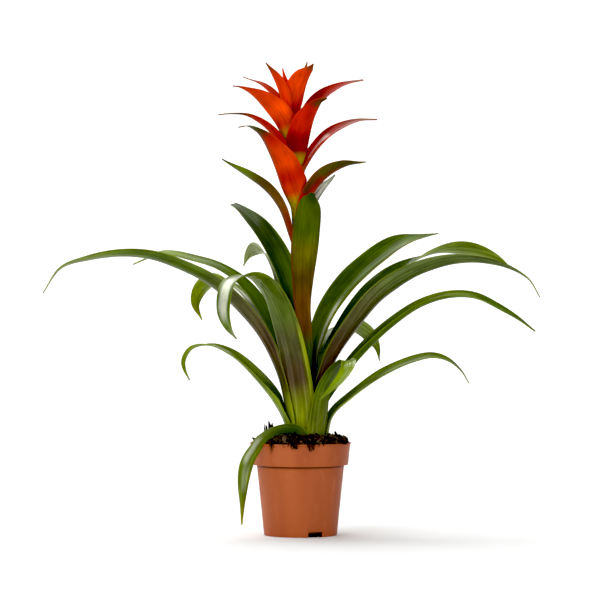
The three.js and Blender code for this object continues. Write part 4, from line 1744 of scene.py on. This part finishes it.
@dataclass(frozen=True)
class PottingSoil:
    """Heaped peat with bark crumbs and root fibres, filling the pot round the leaf bases."""

    edge: float = 56.4
    hole: float = 23.0  # drawn in against the leaf bases
    hole_x: float = 7.0
    edge_height: float = 107.0
    crown: float = 27.0
    crown_height: float = 117.5
    floor: float = 99.7
    bottom: float = 3.9
    ledge: float = 84.9  # where the soil steps out into the pot's collar
    ledge_radius: float = 54.9
    rings: int = 26
    steps: int = 150
    crumbs: int = 1500
    chips: int = 360
    fibres: int = 260
    slots: int = 3  # the pot's
    first_slot: float = 294.0
    # dark crumbs in each slot: peat, and a dark fill for the shade inside the slot
    slot_peat_and_shade_crumbs: int = 60
    rim: float = 60.0  # the pot's
    rim_height: float = 110.0

    BROWNS: ClassVar[tuple[str, ...]] = ("#1A150F", "#271F17", "#362B20", "#4E3E2D", "#6E5A45")
    DARK_BROWNS: ClassVar[int] = 3
    # where peat spills over the rim: azimuth, breadth in degrees, drop and number of crumbs
    SPILLS: ClassVar[tuple[tuple[float, float, float, int], ...]] = (
        (263, 5, 6, 90), (282, 5, 8, 90), (236, 3, 4, 40), (209, 4, 2, 40), (330, 9, 1.5, 60),
    )
    # where strands hang over the rim: azimuth and drop
    HANGS: ClassVar[tuple[tuple[float, float], ...]] = (
        (221, 3), (233, 6), (234.5, 11.5), (236, 8), (238, 4.5), (251, 3.5), (256, 2.5),
        (263, 4), (266, 5.5), (280, 6), (283, 3.5), (291, 2.5), (297, 2),
    )
    HANG_STEPS: ClassVar[int] = 9
    LYING: ClassVar[float] = 0.4  # the share of a strand or spill that lies on the rim
    TUFT_X: ClassVar[float] = -38.0
    TUFT_Y: ClassVar[float] = 4.0
    TUFT_TOP: ClassVar[float] = 134.0
    TUFT_SHREDS: ClassVar[int] = 18

    POT_FOOT: ClassVar[tuple[float, float]] = (42.3, 2.4)  # the pot's inside radius at a height
    POT_TAPER: ClassVar[float] = 0.1037
    CLEARANCE: ClassVar[float] = 0.3
    CROWN_BEND: ClassVar[float] = 0.35  # under 1, so the heap rises steeply from its edge
    GRIT: ClassVar[float] = 1.3
    GRIT_PITCH: ClassVar[float] = 3.5

    def inside_wall(self, height: float) -> float:
        """Returns the radius that just clears the pot's wall at a height below the collar."""
        radius, foot = self.POT_FOOT
        return radius + (height - foot) * self.POT_TAPER - self.CLEARANCE

    @staticmethod
    def clods(x: float, y: float) -> float:
        """Finds how far clods lift the heap at a place, by the waves that the CAD soil has.

        Args:
            x: The place from left to right, in millimetres.
            y: The place from front to back, in millimetres.

        Returns:
            The lift in millimetres.
        """
        fine = math.sin(x * 0.61 + 1.3 * math.sin(y * 0.37)) * math.sin(
            y * 0.53 + 1.7 * math.sin(x * 0.29)
        )
        coarse = math.cos(0.17 * (x - 47)) * (0.7 + 0.3 * math.cos(0.2 * y))
        return 1.4 * fine + 1.5 * coarse

    def surface(self, x: float, y: float) -> float:
        """Finds the heap's height at a place.

        Args:
            x: The place from left to right, in millimetres.
            y: The place from front to back, in millimetres.

        Returns:
            The height in millimetres.
        """
        radius = min(self.edge, math.hypot(x, y))
        share = (self.edge - radius) / (self.edge - self.crown)
        risen = min(1.0, max(0.0, share)) ** self.CROWN_BEND
        height = mix(self.edge_height, self.crown_height, risen)
        near_rim = smooth(radius, self.edge - 5, self.edge - 0.4)
        near_hole = 1 - smooth(radius, self.crown, self.crown + 8)
        calm = 1 - 0.65 * max(near_rim, near_hole)
        grit = noise.noise(Vector((x / self.GRIT_PITCH, y / self.GRIT_PITCH, 1.7))) * self.GRIT
        return height + (self.clods(x, y) + grit) * calm

    def build(self) -> list[bpy.types.Object]:
        """Models and dresses the soil and what lies in it."""
        return [self._heap(), self._crumbs(), self._fibres()]

    def _heap(self) -> bpy.types.Object:
        """Models the soil itself as one closed turned body.

        Returns:
            The finished piece.
        """
        wall_top = self.inside_wall(self.ledge - 0.3) - 0.2
        outline = [(0, self.bottom), (self.inside_wall(self.bottom), self.bottom)]
        outline += [(wall_top, self.ledge), (self.ledge_radius, self.ledge)]
        outline.append((self.edge, self.edge_height - 2))
        for i in range(self.rings + 1):
            outline.append((mix(self.edge - 0.2, self.hole, i / self.rings), self.edge_height))
        outline += [(self.hole, self.floor), (0, self.floor)]
        bm = bmesh.new()
        verts = [bm.verts.new((r * MM, 0, z * MM)) for r, z in outline]
        edges = [bm.edges.new(pair) for pair in zip(verts, verts[1:])]
        bmesh.ops.spin(
            bm,
            geom=[*verts, *edges],
            cent=(0, 0, 0),
            axis=(0, 0, 1),
            angle=2 * math.pi,
            steps=self.steps,
            use_merge=True,
        )
        bmesh.ops.remove_doubles(bm, verts=bm.verts[:], dist=1e-6)
        bmesh.ops.recalc_face_normals(bm, faces=bm.faces[:])
        for vertex in bm.verts:
            x, y, z = vertex.co / MM
            radius = math.hypot(x, y)
            if z > self.floor - 0.01:
                x += self.hole_x * (1 - smooth(radius, self.hole, self.edge - 2))
            if z > self.edge_height - 0.01:
                z = self.surface(x, y)
            vertex.co = Vector((x, y, z)) * MM
        piece = finish_mesh(bm, "potting_soil", PEAT.material, sharp_degrees=80)
        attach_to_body(piece, BODY)
        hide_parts("soil")
        return piece

    def _crumbs(self) -> bpy.types.Object:
        """Makes the crumbs of peat and chips of bark as one mesh.

        Returns:
            The finished piece.
        """
        draw = random.Random(SEED)
        browns = [Vector(linear(brown)) for brown in self.BROWNS]
        bm = bmesh.new()
        bm.verts.layers.float_color.new("tint")
        self._scatter(bm, draw, browns)
        self._fill_slots_with_peat_and_shade(bm, draw, browns)
        self._spill(bm, draw, browns)
        piece = finish_mesh(bm, "peat_crumbs", BARK.material, sharp_degrees=30)
        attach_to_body(piece, BODY)
        return piece

    def _scatter(
        self, bm: bmesh.types.BMesh, draw: random.Random, browns: Sequence[Vector]
    ) -> None:
        """Scatters crumbs of peat, then chips of bark, sunk into the heap.

        Args:
            bm: The mesh of the crumbs.
            draw: The draw of random numbers.
            browns: The linear colours to choose from.
        """
        for i in range(self.crumbs + self.chips):
            turn = draw.uniform(0, 2 * math.pi)
            radius = math.sqrt(draw.uniform(0.16, 1)) * self.edge
            x, y = radius * math.cos(turn), radius * math.sin(turn)
            if math.hypot(x - self.hole_x, y) < self.hole + 1.5 or radius > self.edge - 0.8:
                continue
            if i < self.crumbs:
                size = draw.uniform(0.6, 2.2)
                shape = [size * draw.uniform(0.6, 1.2) for _ in range(3)]
            else:
                size = draw.uniform(1.6, 3.6)
                shape = [size * draw.uniform(1.0, 2.2), size * 0.4, size * draw.uniform(0.2, 0.4)]
            lift = size * draw.uniform(0.1, 0.8)
            place = Vector((x, y, self.surface(x, y) + lift))
            self._crumb(bm, draw, place, shape, draw.choice(browns))

    def _fill_slots_with_peat_and_shade(
        self, bm: bmesh.types.BMesh, draw: random.Random, browns: Sequence[Vector]
    ) -> None:
        """Fills the pot's drain slots with dark crumbs down to the floor: the peat that shows in
        them, and a dark fill that stands in for the shade inside them.

        Args:
            bm: The mesh of the crumbs.
            draw: The draw of random numbers.
            browns: The linear colours to choose from.
        """
        for i in range(self.slots * self.slot_peat_and_shade_crumbs):
            azimuth = self.first_slot + (i % self.slots) * 360 / self.slots
            place = around(azimuth, draw.uniform(33, 38.5), draw.uniform(1.6, 4.4), Vector())
            place += around(azimuth + 90, draw.uniform(-9, 9), 0, Vector())
            shape = [draw.uniform(1.2, 1.9)] * 3
            self._crumb(bm, draw, place, shape, browns[i % self.DARK_BROWNS])

    def _spill(
        self, bm: bmesh.types.BMesh, draw: random.Random, browns: Sequence[Vector]
    ) -> None:
        """Spills fine peat over the rim, where it narrows as it runs down.

        Args:
            bm: The mesh of the crumbs.
            draw: The draw of random numbers.
            browns: The linear colours to choose from.
        """
        for azimuth, breadth, drop, count in self.SPILLS:
            for _ in range(count):
                share = draw.random()
                narrowed = 1 - 0.7 * max(0, share - self.LYING)
                place = around(
                    azimuth + draw.uniform(-breadth, breadth) * narrowed,
                    mix(self.rim - 5, self.rim + 1, min(1, share / self.LYING))
                    - 0.4 * (share > 0.5),
                    self.rim_height + 3 - (drop + 2) * max(0.0, share - 0.3) / 0.7,
                    Vector(),
                )
                size = draw.uniform(0.35, 0.9)
                shape = [size * draw.uniform(1.0, 2.6), size * 0.7, size * draw.uniform(0.4, 1.0)]
                self._crumb(bm, draw, place, shape, draw.choice(browns[: self.DARK_BROWNS]))

    @staticmethod
    def _crumb(
        bm: bmesh.types.BMesh,
        draw: random.Random,
        place: Vector,
        shape: Sequence[float],
        brown: Vector,
    ) -> None:
        """Adds one rough crumb.

        Args:
            bm: The mesh of the crumbs.
            draw: The draw of random numbers.
            place: Its middle, in millimetres.
            shape: Its three half sizes, in millimetres.
            brown: Its linear colour.
        """
        turned = Matrix.Rotation(draw.uniform(0, math.pi), 4, "Z") @ Matrix.Rotation(
            draw.uniform(-1.1, 1.1), 4, "Y"
        )
        made = bmesh.ops.create_icosphere(
            bm,
            subdivisions=1,
            radius=1,
            matrix=Matrix.Translation(place * MM)
            @ turned
            @ Matrix.Diagonal((*(s * MM for s in shape), 1)),
        )["verts"]
        tint = bm.verts.layers.float_color["tint"]
        for vertex in made:
            vertex.co += Vector([draw.uniform(-0.3, 0.3) * shape[0] * MM for _ in range(3)])
            vertex.co.z = max(vertex.co.z, 0.3 * MM)  # above what the pot stands on
            vertex[tint] = brown

    def _fibres(self) -> bpy.types.Object:
        """Lays fine root fibres on the heap, some of them over the rim, and a tuft at the left.

        Returns:
            The finished piece.
        """
        draw = random.Random(SEED + 1)
        runs = self._on_heap(draw) + self._over_rim(draw) + self._tuft(draw)
        strands = [
            (points, [radius * (1 - 0.6 * i / len(points)) for i in range(len(points))])
            for points, radius in runs
        ]
        piece = swept_strands("root_fibres", strands, FIBRE.material)
        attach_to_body(piece, BODY)
        return piece

    def _on_heap(self, draw: random.Random) -> list[tuple[list[Vector], float]]:
        """Lets fibres wander over the heap.

        Args:
            draw: The draw of random numbers.

        Returns:
            For each fibre, its points and its radius at the thick end, in millimetres.
        """
        runs = []
        for _ in range(self.fibres):
            turn, radius = draw.uniform(0, 2 * math.pi), draw.uniform(33, 55)
            point = Vector((radius * math.cos(turn), radius * math.sin(turn), 0))
            heading = draw.uniform(0, 2 * math.pi)
            points = []
            for _ in range(draw.randint(5, 12)):
                if math.hypot(point.x, point.y) > self.edge - 1:
                    break
                lift = draw.uniform(0.2, 2.8)
                points.append(Vector((point.x, point.y, self.surface(point.x, point.y) + lift)))
                heading += draw.uniform(-0.7, 0.7)
                point += Vector((math.cos(heading), math.sin(heading), 0)) * draw.uniform(1.2, 2.4)
            if len(points) > 3:
                runs.append((points, draw.uniform(0.25, 0.6)))
        return runs

    def _over_rim(self, draw: random.Random) -> list[tuple[list[Vector], float]]:
        """Hangs strands over the rim at the front and the left.

        Args:
            draw: The draw of random numbers.

        Returns:
            For each strand, its points and its radius at the thick end, in millimetres.
        """
        runs = []
        for azimuth, drop in self.HANGS:
            points = []
            for i in range(self.HANG_STEPS + 1):
                share = i / self.HANG_STEPS
                if share < self.LYING:
                    radius = mix(self.rim - 8, self.rim + 0.2, share / self.LYING)
                    height = self.rim_height + mix(1.5, 0.5, share / self.LYING)
                else:
                    fallen = (share - self.LYING) / (1 - self.LYING)
                    radius = self.rim + 0.45
                    height = self.rim_height + mix(0.4, 0.2 - drop, fallen)
                # below the rim's edge a strand falls back against the wall
                back = 0.9 * smooth(self.rim_height - 2 - height, 0, 2) if height < 107 else 0
                wander = draw.uniform(-0.9, 0.9) * (1 if share > 0.3 else 3)
                points.append(around(azimuth + wander, radius - back, height, Vector()))
            runs.append((points, draw.uniform(0.4, 0.75)))
        return runs

    def _tuft(self, draw: random.Random) -> list[tuple[list[Vector], float]]:
        """Stands shreds of bark up at the left of the plant.

        Args:
            draw: The draw of random numbers.

        Returns:
            For each shred, its points and its radius at the thick end, in millimetres.
        """
        runs = []
        for _ in range(self.TUFT_SHREDS):
            x, y = self.TUFT_X + draw.uniform(-5, 5), self.TUFT_Y + draw.uniform(-3, 3)
            base = self.surface(x, y) - 1
            top = self.TUFT_TOP + draw.uniform(-5, 2) - abs(x - self.TUFT_X) * 0.5
            lean = (x - self.TUFT_X - 1) * 0.15
            points = [
                Vector((x + draw.uniform(-0.5, 0.5) + lean * share, y, mix(base, top, share)))
                for share in (0, 0.25, 0.5, 0.75, 1)
            ]
            runs.append((points, draw.uniform(0.8, 1.6)))
        return runs


@dataclass(frozen=True)
class FlowerStalk:
    """The flower stalk, on the short thick stem that the leaves grow from."""

    radius: float = 4.4
    stem_radius: float = 7.6
    stem_top: float = 9.0  # the stem's height above the stalk's foot
    stem_shoulder: float = 30.0
    steps: int = 60

    def build(self) -> bpy.types.Object:
        """Models and dresses the stalk and puts it in its CAD node's place.

        Returns:
            The finished piece.
        """
        points, radii = [], []
        for i in range(self.steps + 1):
            point = STALK.point_at(i / self.steps)
            above = point.z - STALK.samples[0].z
            points.append(point)
            radii.append(
                mix(self.stem_radius, self.radius, smooth(above, self.stem_top, self.stem_shoulder))
            )
        piece = swept_strands("flower_stalk_skin", [(points, radii)], STALK_SKIN.material)
        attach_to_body(piece, BODY)
        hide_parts("flower_stalk")
        return piece


@dataclass(frozen=True)
class SoftLight:
    """A square soft light that looks at the plant."""

    name: str
    place: tuple[float, float, float]  # in metres, as is its size
    size: float
    power: float  # in watts

    AIM: ClassVar[tuple[float, float, float]] = (0, 0, 0.28)

    def build(self) -> None:
        """Adds the light to the scene."""
        light = bpy.data.lights.new(self.name, "AREA")
        light.shape = "SQUARE"
        light.size = self.size
        light.energy = self.power
        holder = bpy.data.objects.new(self.name, light)
        holder.location = self.place
        aim = Vector(self.AIM) - Vector(self.place)
        holder.rotation_euler = aim.to_track_quat("-Z", "Y").to_euler()
        bpy.context.scene.collection.objects.link(holder)


@dataclass(frozen=True)
class Studio:
    """A plain pale sweep with soft daylight, and the camera at the photo's place."""

    lights: tuple[SoftLight, ...] = (
        SoftLight("key_light", (-1.8, -2.0, 1.5), 1.9, 46.0),
        SoftLight("fill_light", (1.9, -1.9, 1.0), 1.6, 30.0),
        SoftLight("top_light", (-0.5, 0.7, 2.2), 2.0, 56.0),
    )
    world: float = 0.26
    haze: float = 0.023  # the glare that the print's black point takes away

    distance: float = 3400.0
    eye_height: float = 279.0
    eye_x: float = -0.6
    lens: float = 171.7

    paper: str = "#EBEBEB"
    back_glow: float = 0.85  # the backdrop is lit from behind, as in a light tent
    glow_from: float = 0.5  # the sweep's sizes are in metres
    glow_full: float = 4.0
    side: float = 9.0
    front: float = -7.0
    back: float = 5.0
    bend: float = 2.5
    rise: float = 6.0

    def build(self) -> None:
        """Makes the sweep, the lights, the world and the camera."""
        self._print()
        self._sweep()
        for light in self.lights:
            light.build()
        self._world()
        self._camera()

    def _print(self) -> None:
        """Sets the crisp print of a product photo: full whites and blacks without glare."""
        view = bpy.context.scene.view_settings
        view.view_transform = "Standard"
        view.use_curve_mapping = True
        view.curve_mapping.black_level = (self.haze,) * 3
        view.curve_mapping.update()

    def _sweep(self) -> None:
        """Makes the floor and the backdrop as one sheet with a bend between them."""
        bm = bmesh.new()
        start = [bm.verts.new((-self.side, y, 0)) for y in (self.front, self.back)]
        edge = bm.edges.new(start)
        bmesh.ops.extrude_edge_only(bm, edges=[edge])
        bmesh.ops.translate(
            bm, verts=[v for v in bm.verts if v not in start], vec=(2 * self.side, 0, 0)
        )
        bmesh.ops.holes_fill(bm, edges=bm.edges[:], sides=4)
        back = [e for e in bm.edges if all(v.co.y > self.back - 1 for v in e.verts)]
        bmesh.ops.spin(
            bm,
            geom=[*back, *{v for e in back for v in e.verts}],
            cent=(0, self.back, self.bend),
            axis=(1, 0, 0),
            angle=math.radians(90),
            steps=24,
        )
        bent = self.back + self.bend - 0.1
        top = [e for e in bm.edges if all(v.co.y > bent for v in e.verts)]
        raised = bmesh.ops.extrude_edge_only(bm, edges=top)["geom"]
        bmesh.ops.translate(
            bm,
            verts=[v for v in raised if isinstance(v, bmesh.types.BMVert)],
            vec=(0, 0, self.rise),
        )
        bmesh.ops.recalc_face_normals(bm, faces=bm.faces[:])
        mesh = bpy.data.meshes.new("paper_sweep")
        bm.to_mesh(mesh)
        bm.free()
        mesh.polygons.foreach_set("use_smooth", [True] * len(mesh.polygons))
        mesh.materials.append(self._paper())
        sweep = bpy.data.objects.new("paper_sweep", mesh)
        bpy.context.scene.collection.objects.link(sweep)

    def _paper(self) -> bpy.types.Material:
        """Makes the uncoated paper: matt, and glowing more towards the back.

        Returns:
            The material.
        """
        made, shader = new_material(
            "matt_paper",
            {
                "Base Color": linear(self.paper),
                "Roughness": 0.9,
                "Specular IOR Level": 0.1,
                "Emission Color": linear("#FFFFFF"),
            },
        )
        tree = made.node_tree
        place = add_node(tree, "ShaderNodeTexCoord")
        parts = add_node(tree, "ShaderNodeSeparateXYZ", inputs={"Vector": place.outputs["Object"]})
        glow = add_node(
            tree,
            "ShaderNodeMapRange",
            {"interpolation_type": "SMOOTHSTEP"},
            {
                "Value": parts.outputs["Y"],
                "From Min": self.glow_from,
                "From Max": self.glow_full,
                "To Max": self.back_glow,
            },
        )
        tree.links.new(glow.outputs["Result"], shader.inputs["Emission Strength"])
        return made

    def _world(self) -> None:
        """Makes the even light from all round."""
        world = bpy.data.worlds.new("soft_daylight")
        world.use_nodes = True
        tree = world.node_tree
        tree.nodes.clear()
        glow = add_node(
            tree,
            "ShaderNodeBackground",
            inputs={"Color": linear("#FFFFFF"), "Strength": self.world},
        )
        add_node(tree, "ShaderNodeOutputWorld", inputs={"Surface": glow.outputs["Background"]})
        bpy.context.scene.world = world

    def _camera(self) -> None:
        """Places the level camera in front of the plant."""
        camera = bpy.data.cameras.new("camera")
        camera.lens = self.lens
        camera.sensor_width = 36
        camera.clip_end = 60
        holder = bpy.data.objects.new("camera", camera)
        holder.location = Vector((self.eye_x, -self.distance, self.eye_height)) * MM
        holder.rotation_euler = (math.radians(90), 0, 0)
        bpy.context.scene.collection.objects.link(holder)
        bpy.context.scene.camera = holder


def main() -> None:
    """Builds the plant in its pot, from the foot up, and the studio round it."""
    logging.basicConfig(level=logging.INFO, format="%(name)s: %(message)s")
    Studio().build()
    made = [NurseryPot().build(), *PottingSoil().build(), FlowerStalk().build()]
    made += [blade.build() for blade in (*LEAVES, *BRACTS)]
    for piece in made:
        LOG.info("%s: %d faces", piece.name, len(piece.data.polygons))


if __name__ == "__main__":
    main()
